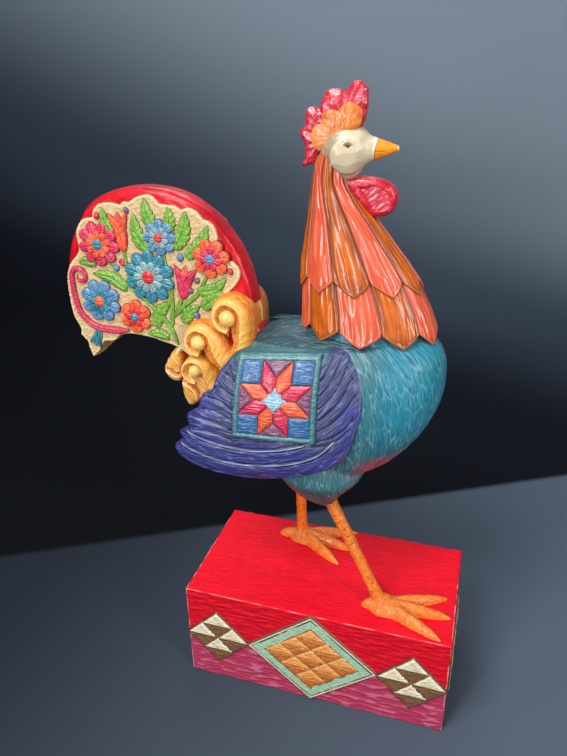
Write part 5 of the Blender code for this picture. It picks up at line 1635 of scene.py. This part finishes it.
def bloom(name, way, centre, radius, petals, coat, height, turn, floor):
    """A round of petals, each domed and creased, sinking to the middle."""
    centre = np.array(centre, float) * MM
    angles = turns(16 * petals)
    phase = (angles * petals / (2 * math.pi)) % 1 * 2 - 1
    way_out = np.stack([np.cos(angles + turn), np.sin(angles + turn)], 1)
    reach = radius * MM * (1 - 0.24 * np.abs(phase) ** 2.4)
    rings, heights = [], []
    for r in (0.04, 0.15, 0.25, 0.35, 0.45, 0.55, 0.65, 0.74, 0.82, 0.89, 0.95, 1.0):
        rings.append(centre + way_out * (reach * r)[:, None])
        crown = ramp(r, 0.05, 0.6) * math.sqrt(max(0.0, 1 - (r * 0.98) ** 8))
        gap = 0.55 * np.abs(phase) ** 4 * ramp(r, 0.2, 0.6)
        crease = 0.0005 * bell(phase, 0.13) * ramp(r, 0.3, 0.5) * (1 - ramp(r, 0.8, 0.95))
        side_crease = 0.0003 * bell(np.abs(phase) - 0.45, 0.1) * ramp(r, 0.5, 0.65) * (r < 0.9)
        heights.append(floor + height * (0.4 + 0.6 * crown) * (1 - gap) - crease - side_crease)
    return raised(name, way, rings, heights, coat, turn)


def boss(name, way, centre, radius, coat, height, floor, squash=1.0, turn=0.0):
    """A domed heart or berry, with a seam across it."""
    centre = np.array(centre, float) * MM
    angles = turns(32)
    a, b = np.cos(angles) * radius * MM, np.sin(angles) * radius * MM * squash
    out = np.stack([a * math.cos(turn) - b * math.sin(turn), a * math.sin(turn) + b * math.cos(turn)], 1)
    rings, heights = [], []
    for r in (0.05, 0.2, 0.35, 0.5, 0.62, 0.74, 0.84, 0.92, 0.97, 1.0):
        rings.append(centre + out * r)
        seam = 0.0004 * bell(b * r, 0.16 * radius * MM) * (r < 0.8)
        heights.append(floor + height * math.sqrt(max(0.0, 1 - (0.97 * r) ** 2)) - seam)
    return raised(name, way, rings, heights, coat, turn)


def spiral(centre, radius, start, sweep):
    """Points that wind in to a centre, in millimetres; angles in degrees."""
    out = []
    for share in np.linspace(0, 1, 14):
        angle = math.radians(start + sweep * share)
        reach = radius * (1 - 0.72 * share)
        out.append((centre[0] + reach * math.cos(angle), centre[1] + reach * math.sin(angle)))
    return out


def tulip(name, way, base, tip, width, outer, middle):
    """A tulip of a middle petal between two that curve out."""
    base, tip = np.array(base, float), np.array(tip, float)
    ahead = (tip - base) / np.hypot(*(tip - base))
    beside = np.array([-ahead[1], ahead[0]])
    leaf(name + "_middle", way, base, tip, 0.75 * width, middle, teeth=0, height=0.0018)
    root = base - ahead * 0.12 * width
    for word, turn in (("a", -1), ("b", 1)):
        end = tip + beside * turn * 0.62 * width - ahead * 0.06 * width
        leaf(f"{name}_{word}", way, root, end, 0.62 * width, outer, -0.12 * turn, teeth=0, height=0.0024)


# Drawn in millimetres; leaves have base, tip, width and bend, blooms a centre, radius, number of petals
# and three colours, tulips a base, tip, width and two colours, and berries a centre and radius
STEMS_DRAWN = (
    ((-110, 183), (-115, 196), (-125, 208), (-138, 219), (-150, 229), (-160, 242)),
    ((-114, 195), (-112, 210), (-112, 226), (-114, 240), (-116, 252)),
    ((-112, 204), (-103, 213), (-93, 221), (-86, 232), (-82, 240)),
    ((-142, 222), (-144, 236), (-145, 250)),
    ((-108, 210), (-103, 221)),
    ((-120, 203), (-128, 198), (-137, 196)),
)
LEAVES_DRAWN = (
    ((-125, 248), (-135, 274), 12, 0.12), ((-119, 262), (-126, 284.5), 11, 0.08),
    ((-112, 262), (-109, 279.5), 10, -0.1), ((-107, 252), (-97, 277), 12, -0.1),
    ((-99, 247), (-82, 268.5), 11, -0.12), ((-89, 212), (-69, 223), 11.5, 0.12),
    ((-92, 224), (-71, 234.5), 9.5, -0.14), ((-126, 195), (-113, 215), 10.5, 0.12),
    ((-116, 188), (-133, 189), 8.5, -0.12), ((-146, 221), (-172, 231), 10, -0.12),
    ((-152, 260), (-158, 277), 9, 0.12), ((-104, 200), (-91, 214), 10, 0.12),
    ((-168, 238), (-182, 238), 8, -0.12),
)
BLOOMS_DRAWN = (
    ((-127, 232), 18.5, 10, "petal_teal", "petal_ice", "heart_red"),
    ((-163.5, 252.5), 15.5, 9, "petal_magenta", "petal_orange", "petal_teal"),
    ((-116.5, 259.5), 12.0, 8, "petal_blue", "petal_ice", "heart_red"),
    ((-80.5, 247.5), 13.0, 7, "petal_orange", "petal_magenta", "petal_blue"),
    ((-168, 211.5), 15.5, 8, "petal_blue", "petal_teal", "petal_orange"),
    ((-141, 202), 12.0, 6, "petal_orange", "heart_red", "petal_teal"),
)
TULIPS_DRAWN = (
    ((-103, 219), (-100, 241), 13, "petal_magenta", "petal_orange"),
    ((-145, 249), (-147, 275), 12, "petal_orange", "heart_red"),
    ((-172.5, 189.5), (-178.5, 175.5), 8, "petal_teal", "petal_ice"),
)
VINE_SCROLL_DRAWN = (
    (-148, 190.5), (-160, 189.5), (-175, 191), (-186, 200), (-189.5, 214),
    *spiral((-183, 228), 7.0, 195, -400),
)
BERRIES_DRAWN = (
    ((-147, 240.5), 2.8), ((-92, 231.5), 2.0), ((-103, 246.5), 2.6), ((-67.5, 239.5), 2.0),
    ((-97.5, 224), 2.2), ((-152.5, 236.2), 2.4), ((-163, 271.5), 2.2), ((-140, 276), 2.0), ((-94, 207), 2.4),
)


def make_vine(side):
    way, green = SIDES[side], PAINTS["leaf_green"]
    for k, path in enumerate(STEMS_DRAWN):
        stem(f"vine_stem_{k}_{side}", way, path, 3.2, green)
    magenta = PAINTS["petal_magenta"]
    stem(f"vine_scroll_0_{side}", way, VINE_SCROLL_DRAWN, 5.4, magenta, height=0.0022, taper=0.45)
    for k, (base, tip, width, bend) in enumerate(LEAVES_DRAWN):
        leaf(f"vine_leaf_{k}_{side}", way, base, tip, width, green, bend)
    for k, (base, tip, width, outer, middle) in enumerate(TULIPS_DRAWN):
        tulip(f"vine_tulip_{k}_{side}", way, base, tip, width, PAINTS[outer], PAINTS[middle])
    for k, (centre, radius, petals, outer, inner, heart) in enumerate(BLOOMS_DRAWN):
        name, turn = f"vine_bloom_{k}", 0.2 * k
        bloom(
            f"{name}_outer_{side}", way, centre, radius, petals, PAINTS[outer],
            height=0.0022, turn=turn, floor=0.0007,
        )
        bloom(
            f"{name}_inner_{side}", way, centre, 0.6 * radius, petals, PAINTS[inner],
            height=0.0018, turn=turn + math.pi / petals, floor=0.002,
        )
        boss(f"{name}_heart_{side}", way, centre, 0.26 * radius, PAINTS[heart], height=0.0022, floor=0.0026)
    for k, (centre, radius) in enumerate(BERRIES_DRAWN):
        colour = PAINTS[("petal_magenta", "berry_purple", "petal_blue")[k % 3]]
        boss(
            f"vine_berry_{k}_{side}", way, centre, radius, colour,
            height=0.002, floor=0.0, squash=0.85, turn=0.7 * k,
        )


# Curls

def scroll_mesh(level, side):
    """A ridge with a channel inside it that winds round a pearl.

    Gives the piece, its middle, and the pearl's radius and the ridge's height.
    """
    middle, size, reaches, bands, tail_run = SCROLLS_DRAWN[level]
    way = SIDES[side]
    centre = np.array(middle) * MM
    base, crest = 2 * GAP, CURL_HEIGHT - (1 - size) * CURL_HEIGHT / 2
    channels = [CURL_REACH * reaches[0] * share for share in (0.4, 0.6, 0.8)]
    path = [(*point, channel) for point, channel in zip(metres(reversed(tail_run)), channels)]
    for degrees in range(0, 273, 34):
        quarter, rest = divmod(degrees / 90, 1)
        here, there = (reaches[int(quarter + step) % 4] for step in (0, 1))
        reach = CURL_REACH * (here + (there - here) * rest)
        angle = math.radians(degrees)
        path.append((reach * math.cos(angle), reach * math.sin(angle), 0.86 * reach))
    table = smooth(path, 6, (), False)
    count = len(table)
    floor = crest - 0.8 * CURL_CHANNEL_DEPTH * size
    # the section: the wall and floor of the channel, the ridge, and the round outer band
    rings = []
    for k, (px, pz, channel) in enumerate(table):
        ahead = table[min(k + 1, count - 1), :2] - table[max(k - 1, 0), :2]
        across = np.array([ahead[1], -ahead[0]]) / np.hypot(*ahead)
        share = k / (count - 1)
        bank = CURL_REACH * (bands[0] + (bands[1] - bands[0]) * min(1.0, share / 0.7))
        section = [
            (-channel, base), (-channel, floor - 0.0017), (-0.6 * channel, floor - 0.0013),
            (-0.0028, floor - 0.0005), (-0.0013, floor + 0.0008), (-0.0006, crest - 0.0010), (0.0, crest),
            (0.0007, crest - 0.0002),
        ]
        for step in np.linspace(0.15, 1, 9):
            section.append((0.0007 + (bank - 0.0007) * step, crest - 0.0004 - 0.0085 * step**2.2))
        section.append((bank, base))
        spot = centre + np.array([px, pz])
        rings.append([(spot[0] + across[0] * a, way * h, spot[1] + across[1] * a) for a, h in section])
    scroll = tube(f"scroll_{level}_{side}", rings)
    pearl = 1.08 * PEARL_RADIUS * (0.35 + 0.65 * size)
    hub = ball("hub", 1.1 * pearl, (centre[0], way * (crest - 1.3 * pearl), centre[1]), 0.8)
    bead = ball("pearl", pearl, (centre[0], way * (crest - 0.72 * pearl), centre[1]))
    return joined(f"curl_{level}_carved_{side}", scroll, hub, bead), centre, pearl, crest


def make_scroll(level, side):
    piece, centre, pearl, crest = scroll_mesh(level, side)
    remeshed(piece, size=0.0005, smoothing=3)
    x, y, z = points_of(piece).T
    dx, dz = x - centre[0], z - centre[1]
    reach, along = np.hypot(dx, dz), np.arctan2(dz, dx) * 0.012
    on_pearl = (1 - ramp(reach, 0.92 * pearl, 1.02 * pearl)) * (np.abs(y) > crest - pearl)
    marks = chiselled(along, reach + 0.4 * np.abs(y), 0.009, 0.0026, seed=131, depth=0.0003)
    swell(piece, marks * (1 - 0.6 * on_pearl))
    high = ramp(np.abs(y), crest - 0.0075, crest - 0.0008)
    node, flow = f"curl_{level}_{side}", (along, reach, y)
    dress(piece, GOLD, node, "curl_gold", flow, depth=0.0011, steps=50, pearl=on_pearl, height=high)


def make_curls():
    for side, way in SIDES.items():
        for level in SCROLLS_DRAWN:
            make_scroll(level, side)
        outline, y = smooth(metres(BOTTOM_CURL_DRAWN), 6), way * (BOTTOM_CURL_DEPTH / 2 + GAP)
        roll = plate(f"curl_bottom_carved_{side}", outline, BOTTOM_CURL_DEPTH, ROLL_ROUNDING, y, size=0.0007)
        carve_roll(roll, *BOTTOM_CURL_LINES, f"curl_bottom_{side}")
    outline = smooth(metres(REAR_CURL_DRAWN), 6)
    roll = plate("curl_rear_carved", outline, REAR_CURL_DEPTH, ROLL_ROUNDING, y=0, size=0.0007)
    carve_roll(roll, *REAR_CURL_LINES, "curl_rear")


def carve_roll(piece, ridge, crease, node):
    """A raised line and a groove on the face of a roll, where the sheet of it ends."""
    x, y, z = points_of(piece).T
    to_ridge, to_crease = (to_line(x, z, line_through(line))[0] for line in (ridge, crease))
    facing = facing_sideways(piece, 0.4, 0.8)
    heights = 0.0006 * bell(to_ridge, 0.0008) - 0.0019 * bell(to_crease, 0.0011)
    swell(piece, heights * facing + chiselled(y, x + z, 0.008, 0.0028, seed=141, depth=0.0004))
    height = 0.7 * facing * (1 - bell(to_crease, 0.003))
    dress(piece, GOLD, node, "curl_gold", (y, x + z, x - z), depth=0.0009, steps=40, height=height)


# Legs and feet

def make_leg(side):
    """A shank that swells at both ends, with rows of short dark dashes round it."""
    hub, tip = HUBS[side], THIGH_TIPS[side]
    axis = (hub - tip).normalized()
    top = tip - axis * THIGH_TIP_RADIUS / 3
    bottom = hub - axis * HUB_HEIGHT / 2
    beside = axis.cross(Vector((0, 1, 0))).normalized()
    other = axis.cross(beside)
    sides, row_step = 44, 0.0031
    angles = turns(sides)
    rings, flow, dashes = [], [], []
    for share in np.linspace(0, 1, 130):
        at = np.full(sides, share * (bottom - top).length)
        radius = LEG_RADIUS * (1 + 0.04 * math.cos(share * 5)) + 0.0006 * ramp(share, 0.84, 0.99)
        radius = radius + 0.0004 * ramp(0.14 - share, 0, 0.14)
        radius = radius + chiselled(at, angles * LEG_RADIUS, 0.006, 0.0022, seed=151, depth=0.0003)
        out = np.outer(radius * np.cos(angles), beside) + np.outer(radius * np.sin(angles), other)
        rings.append(np.array(top.lerp(bottom, share)) + out)
        flow.append(np.stack([at, angles * LEG_RADIUS, 0 * at], 1))
        round_at = (angles / (2 * math.pi) + chance(np.floor(at / row_step), 3.0, 5)) % 1
        dashes.append((round_at % 0.5 < 0.14) * bell(at / row_step % 1 - 0.5, 0.07))
    leg = tube("leg_carved_" + side, rings)
    dash = with_poles(dashes)
    swell(outward(leg), -0.0002 * dash)
    dress(leg, LEG, "leg_" + side, "leg_orange", with_poles(flow), depth=0.00015, steps=5, dash=dash)


def limb(hub, direction, length, sections, half, tall):
    """A tube over the ground from the hub; its sections have a share of its length, of half and of tall."""
    ahead = Vector((math.cos(math.radians(direction)), math.sin(math.radians(direction)), 0))
    beside = Vector((-ahead.y, ahead.x, 0))
    return tube("limb", [
        ring(hub + ahead * (length * share), beside, Vector((0, 0, 1)), half * wide, tall * high, turns(28))
        for share, wide, high in sections
    ])


def keep_up(piece, level):
    """Nothing of the piece lies lower than this."""
    points = points_of(piece)
    points[:, 2] = np.maximum(points[:, 2], level)
    place(piece, points)


def make_foot(side):
    """A hub under the leg with three long front toes and a short back one, wrinkled at the joints."""
    hub = HUBS[side]
    dome = []
    for wide, high in smooth(HUB_SECTIONS, 4, (), False):
        centre, reach = hub + Vector((0, 0, HUB_HEIGHT * high)), HUB_RADIUS * wide
        dome.append(ring(centre, Vector((1, 0, 0)), Vector((0, 1, 0)), reach, reach, turns(28)))
    parts = [tube("hub", dome)]
    sections = smooth(TOE_SECTIONS, 6, (), False)
    parts += [limb(hub, *toe, sections, TOE_WIDTH / 2, TOE_HEIGHT) for toe in TOES[side]]
    # the palm, from the root of the back toe to where the front toes part
    parts.append(limb(hub, *TOES[side][1], smooth(PALM_SECTIONS, 4, (), False), HUB_RADIUS, HUB_RADIUS))
    foot = remeshed(joined("foot_carved_" + side, *parts), size=0.0006, smoothing=14)
    keep_up(foot, 0.0002)
    x, y, z = points_of(foot).T
    dx, dy = x - hub.x, y - hub.y
    reach, bearing = np.hypot(dx, dy), np.degrees(np.arctan2(dy, dx))
    heights, dash, across = 0 * x, 0 * x, 0 * x
    for direction, length in TOES[side]:
        off = (bearing - direction + 180) % 360 - 180
        mine = np.abs(off) < 14
        share = reach / length
        wrinkle = np.maximum(0, np.sin(share * 30 + 0.12 * off)) ** 6
        wrinkle = wrinkle * ramp(share, 0.3, 0.4) * (1 - ramp(share, 0.8, 0.88))
        heights = np.where(mine, -0.00016 * wrinkle, heights)
        dash = np.where(mine, 0.34 * wrinkle * (np.abs(off) < 5), dash)
        across = np.where(mine, np.radians(off) * reach, across)
    marks = chiselled(reach, across + bearing * 0.00008, 0.006, 0.0022, seed=161, depth=0.0003)
    swell(foot, (heights + marks) * ramp(z, 0.0002, 0.001))
    keep_up(foot, 0.0)
    flow = (reach, np.radians(bearing) * 0.02, z)
    dress(foot, LEG, "foot_" + side, "leg_orange", flow, depth=0.0003, steps=8, dash=dash)


# Block

def slab(name, low, high, cuts):
    """A box whose faces are evenly divided."""
    shape = bmesh.new()
    axes = [np.linspace(low[k], high[k], count + 1) for k, count in enumerate(cuts)]
    known = {}

    def vertex(*at):
        if at not in known:
            known[at] = shape.verts.new([axes[k][at[k]] for k in range(3)])
        return known[at]

    for fixed in range(3):
        first, second = (k for k in range(3) if k != fixed)
        for level in (0, cuts[fixed]):
            for i in range(cuts[first]):
                for j in range(cuts[second]):
                    quad = []
                    for di, dj in ((0, 0), (1, 0), (1, 1), (0, 1)):
                        at = [level, level, level]
                        at[first], at[second] = i + di, j + dj
                        quad.append(vertex(*at))
                    shape.faces.new(quad)
    bmesh.ops.recalc_face_normals(shape, faces=shape.faces)
    return shape_object(name, shape)


def from_tiles(x, y, z, up, end):
    """How far a place on the block's faces lies outside the nearest raised diamond."""
    large, small = TILE_HEIGHT / 2, TILE_SMALL
    nearest = np.full(len(x), 1.0)
    tiles = [(x, 0.0, TILE_LARGE, large, ~end), (y + BIRD.y, 0.0, TILE_END, large, end)]
    tiles += [(x, way * TILE_SMALL_X, small, small, ~end) for way in (-1, 1)]
    for across, at, half_width, half_height, here in tiles:
        over = np.abs(across - at) / half_width + np.abs(z) / half_height - 1
        distance = over * half_width * half_height / math.hypot(half_width, half_height)
        nearest = np.where(here & ~up, np.minimum(nearest, distance), nearest)
    return nearest


def make_block():
    low, high = np.array(BLOCK_LOW - BIRD), np.array(BLOCK_HIGH - BIRD)
    low[2] -= GAP
    block = slab("block_carved", low, high, (110, 112, 96))
    middle, half = (low + high) / 2, (high - low) / 2
    # edges and corners are rounded off
    radius = 0.0011
    points = points_of(block) - middle
    inner = np.clip(points, radius - half, half - radius)
    rest = points - inner
    size = np.linalg.norm(rest, axis=1)
    over = size > radius
    rest[over] *= (radius / size[over])[:, None]
    points = middle + inner + rest
    place(block, points)
    x, y, z = points.T
    end, _, up = (np.abs(normals_of(block)) > 0.7).T
    along, across = np.where(end, y, x), np.where(up, y * 1.25, z)
    bend = 0.002 * np.sin(along / 0.03) + 0.004 * (soft_noise(along / 0.03, across / 0.01, 7) - 0.5)
    marks = gouges(along, across + bend, 0.015, 0.0028, 171)
    from_edge = np.sort(half - np.abs(points - middle), axis=1)[:, 1]
    calm = ramp(from_edge, 0.0005, 0.003)
    tall = np.where(up, 0.00028, 0.0009) * ramp(from_tiles(x, y, z - middle[2], up, end), 0.0003, 0.0026)
    nicks = 0.0004 * (1 - calm) * soft_noise(along / 0.006, z / 0.006, 9)
    swell(block, tall * (marks - 0.7) * calm - nicks)
    worn = (1 - ramp(from_edge, 0.0002, 0.0011)) * (0.2 + soft_noise(along / 0.007, across / 0.007, 3))
    # the rose colour fills the lower side of the chain of diamonds
    side = np.abs(normals_of(block)[:, 2]) < 0.5
    rose = ramp(-z, 0.0435, 0.0437) * side
    dress(
        block, BLOCK_RED, "plinth_block", "block_red", (along, across, 0 * z), depth=0.0004, steps=6,
        rose=rose, shade=side, worn=worn, ripple=rose * marks**2 * ramp(marks, 0.3, 0.9),
    )


def tile_frame(face, x):
    """How (a, b, height) in a tile on this face of the block goes to the bird's frame."""
    middle_z = (BLOCK_HIGH.z + BLOCK_LOW.z) / 2 - BIRD.z
    if face in SIDES:
        way = SIDES[face]
        y = way * BLOCK_DEPTH / 2 - BIRD.y
        return lambda a, b, h: (x - way * a, y + way * h, middle_z + b)
    way = 1 if face == "front" else -1
    end = way * BLOCK_LENGTH / 2
    return lambda a, b, h: (end + way * h, -BIRD.y + way * a, middle_z + b)


def make_ground(name, node, half_width, half_height, lift_to, colour, seed):
    """The raised ground of a tile, which stands in for the whole tile."""
    corners = diamond(half_width - GAP, half_height - GAP)
    patch(name + "_ground", corners, lift_to, TILE_GROUND, PAINTS[colour], node, "mint", seed)


def pattern_patch(name, corners, lift_to, stands, height, colour, seed):
    """A piece of a tile's pattern, which stands out of its ground."""

    def raised_to(a, b, h):
        return lift_to(a, b, h + stands)

    patch(name, corners, raised_to, height, PAINTS[colour], None, "mint", seed)


def two_triangles(a, b, width, height, upper_base=0.0, lower_base=0.0):
    """The upper and the lower triangle of a diamond round (a, b), each with its base moved down."""
    upper = [(a + width, b - upper_base), (a, b + height), (a - width, b - upper_base)]
    lower = [(a - width, b - lower_base), (a, b - height), (a + width, b - lower_base)]
    return np.array(upper), np.array(lower)


def make_small_tile(name, node, half, lift_to):
    """Four small squares on point, each pale above and dark below."""
    make_ground(name, node, half, half, lift_to, "patch_brown", 181)
    quarter = half / 2 - 0.0006
    for k, (a, b) in enumerate(((0, half / 2), (half / 2, 0), (0, -half / 2), (-half / 2, 0))):
        upper, lower = two_triangles(a, b, quarter, quarter, 0.0003, 0.0014)
        pattern_patch(f"{name}_pale_{k}", upper, lift_to, SQUARE_STANDS, 0.0012, "patch_cream", 183 + k)
        pattern_patch(f"{name}_dark_{k}", lower, lift_to, SQUARE_STANDS, 0.0004, "patch_brown", 187 + k)


def make_large_tile(name, node, half_width, half_height, lift_to):
    """Nine small diamonds of honey and amber triangles on mint, with a pale edge."""
    make_ground(name, node, half_width, half_height, lift_to, "patch_mint", 191)
    outer = diamond(half_width, half_height) * 0.985
    inner = drawn_in(outer, 0.0010)
    for k in range(4):
        strip = [outer[k], outer[(k + 1) % 4], inner[(k + 1) % 4], inner[k]]
        pattern_patch(f"{name}_edge_{k}", strip, lift_to, PATTERN_STANDS, 0.0007, "patch_cream", 211 + k)
    # three by three small diamonds, each pale above and dark below
    seam = 0.00015
    step_u, step_v = 0.24 * half_width, 0.24 * half_height
    for k in range(9):
        p, q = k // 3 - 1, k % 3 - 1
        upper, lower = two_triangles((p - q) * step_u, (p + q) * step_v, step_u, step_v)
        upper, lower = drawn_in(upper, seam), drawn_in(lower, seam)
        pattern_patch(f"{name}_pale_{k}", upper, lift_to, PATTERN_STANDS, 0.0009, "patch_honey", 193 + k)
        pattern_patch(f"{name}_dark_{k}", lower, lift_to, PATTERN_STANDS, 0.0006, "patch_amber", 203 + k)


def make_tiles():
    tall = TILE_HEIGHT / 2
    for face in SIDES:
        name = f"tile_{face}_large"
        make_large_tile(name, name, TILE_LARGE, tall, tile_frame(face, 0.0))
        for end, way in (("front", 1), ("rear", -1)):
            name = f"tile_{face}_{end}"
            make_small_tile(name, name, TILE_SMALL, tile_frame(face, way * TILE_SMALL_X))
    for end in ("front", "rear"):
        make_large_tile(f"tile_{end}", f"tile_{end}_end", TILE_END, tall, tile_frame(end, 0.0))


# Pieces of the model that stay

def plain_pieces():
    """Rods, dowels, pegs, felt and the core of the neck get paints and keep their shapes."""
    steel = Coat("rod_steel", (150, 152, 155), 0.3, 0.0).strokes((190, 190, 195), 12, 0.3, 0.4, 0.5)
    steel = steel.finish(0.1)
    steel.node_tree.nodes["Principled BSDF"].inputs["Metallic"].default_value = 1.0
    beech = Coat("dowel_beech", (205, 165, 118), 0.6, 0.0).strokes((178, 136, 90), 12, 0.5, 0.6, 0.5)
    beech = beech.finish(0.3, 12, 0.4)
    felt = Coat("felt_green", (26, 62, 44), 0.95, 0.0).strokes((44, 88, 64), 1.2, 0.4, 0.6, 0.5)
    felt = felt.finish(0.8, 1.0, 0.3, 0.03)
    kept = {"rod": steel, "dowel": beech, "peg": beech, "felt": felt, "core": BODY_TEAL}
    for name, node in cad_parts.items():
        for word, coat in kept.items():
            if word in name:
                node.data.materials.clear()
                node.data.materials.append(coat)
                store(node, "flow", points_of(node) / MM)
                store(node, "relief", np.full(len(node.data.vertices), 0.5))


# Stage

def area_light(name, stands, size, power):
    """A soft lamp that shines on the middle of the bird."""
    lamp = bpy.data.lights.new(name, "AREA")
    lamp.shape = "RECTANGLE"
    lamp.size, lamp.size_y = size
    lamp.energy = power
    way = Vector((0, 0, 0.22)) - Vector(stands)
    turn = way.to_track_quat("-Z", "Y").to_matrix().to_4x4()
    linked(name, lamp).matrix_world = Matrix.Translation(stands) @ turn


def slate_paint():
    """Slate with painted light and shade: paler to the right on the floor, dark behind its far edge and paler
    again further up.
    """
    slate = bpy.data.materials.new("sweep_slate")
    slate.use_nodes = True
    nodes, links = slate.node_tree.nodes, slate.node_tree.links
    shader = nodes["Principled BSDF"]
    shader.inputs["Roughness"].default_value = 0.8
    shader.inputs["Specular IOR Level"].default_value = 0.12
    place_at = nodes.new("ShaderNodeNewGeometry").outputs["Position"]

    def along(way, start):
        """How far a place lies along this way, from start."""
        dot = nodes.new("ShaderNodeVectorMath")
        dot.operation = "DOT_PRODUCT"
        links.new(place_at, dot.inputs[0])
        dot.inputs[1].default_value = way
        moved = nodes.new("ShaderNodeMath")
        moved.operation = "SUBTRACT"
        links.new(dot.outputs["Value"], moved.inputs[0])
        moved.inputs[1].default_value = start
        return moved.outputs[0]

    def graded(value, *stops):
        """A colour from stops of (value, colour), along a value from 0 to 1."""
        ramp_node = nodes.new("ShaderNodeValToRGB")
        ramp_node.color_ramp.interpolation = "EASE"
        links.new(value, ramp_node.inputs[0])
        points = ramp_node.color_ramp.elements
        while len(points) < len(stops):
            points.new(0.5)
        for point, (stop, colour) in zip(points, stops):
            point.position = stop
            point.color = (*rgb(*colour), 1)
        return ramp_node.outputs[0]

    # the grades stand in for how the light falls off over floor and backdrop: painted light and shade
    floor = graded(along((0.75, 0, 0), -0.4), (0.15, (30, 36, 45)), (0.55, (78, 89, 103)))
    behind = graded(
        along((0.27, 0.6, 0.7), 0.02),
        (0.0, (5, 8, 14)), (0.3, (12, 16, 25)), (0.55, (50, 60, 73)), (0.9, (124, 137, 149)),
    )
    edge = graded(along((-49.4, 87.0, 50), 18.0), (0.0, (0, 0, 0)), (1.0, (255, 255, 255)))
    both = nodes.new("ShaderNodeMix")
    both.data_type = "RGBA"
    links.new(edge, both.inputs[0])
    links.new(floor, both.inputs[6])
    links.new(behind, both.inputs[7])
    links.new(both.outputs[2], shader.inputs["Base Color"])
    return slate


def make_stage():
    """A slate studio sweep, with soft light from above and a window's glint on the varnish."""
    half, depth, height, bend = 3.0, 1.0, 3.0, 0.25
    profile = [(-half, 0.0), (depth - bend, 0.0)]
    for angle in np.linspace(0, math.pi / 2, 12)[1:]:
        profile.append((depth - bend + bend * math.sin(angle), bend - bend * math.cos(angle)))
    profile.append((depth, height))
    points = [(x, y, z) for y, z in profile for x in (-half, half)]
    sweep = mesh_object("sweep", points, grid_faces(len(profile), 2, False))
    sweep.data.materials.append(slate_paint())
    sweep.data.shade_smooth()
    world = bpy.data.worlds.new("studio")
    bpy.context.scene.world = world
    world.use_nodes = True
    nodes, links = world.node_tree.nodes, world.node_tree.links
    sky = nodes["Background"]
    sky.inputs["Color"].default_value = (0.86, 0.88, 0.92, 1)
    sky.inputs["Strength"].default_value = 0.5
    dim = nodes.new("ShaderNodeBackground")
    dim.inputs["Color"].default_value = (*rgb(58, 66, 78), 1)
    rays, mix = nodes.new("ShaderNodeLightPath"), nodes.new("ShaderNodeMixShader")
    links.new(rays.outputs["Is Diffuse Ray"], mix.inputs[0])
    links.new(dim.outputs[0], mix.inputs[1])
    links.new(sky.outputs[0], mix.inputs[2])
    links.new(mix.outputs[0], nodes["World Output"].inputs[0])
    area_light("key", (-0.35, -0.75, 1.35), (0.5, 0.5), 15)
    area_light("fill", (1.1, -0.7, 0.75), (0.35, 0.8), 9)
    area_light("back", (-0.3, 0.8, 1.3), (0.8, 0.5), 5)
    area_light("window", (-0.42, -1.2, 0.52), (0.15, 0.7), 7)


def make_camera():
    """The photograph's viewpoint, found from the block's corners."""
    data = bpy.data.cameras.new("camera")
    data.lens = 30.95
    data.sensor_width = 36
    data.clip_start = 0.01
    camera = linked("camera", data)
    right, ahead = Vector((0.954, 0.298, -0.014)).normalized(), Vector((-0.276, 0.864, -0.422)).normalized()
    up = right.cross(ahead).normalized()
    turn = Matrix((right, up, -up.cross(right))).transposed().to_4x4()
    camera.matrix_world = Matrix.Translation((0.09138, -0.39516, 0.44068)) @ turn
    bpy.context.scene.camera = camera


def main():
    bpy.context.scene.view_settings.view_transform = "Standard"
    make_camera()
    make_stage()
    make_body()
    make_neck()
    make_head()
    make_comb()
    make_wattle()
    for side in SIDES:
        make_wing(side)
        make_wing_panel(side)
        make_leg(side)
        make_foot(side)
        make_vine(side)
    make_tail()
    make_tail_panels()
    make_curls()
    make_block()
    make_tiles()
    plain_pieces()


main()
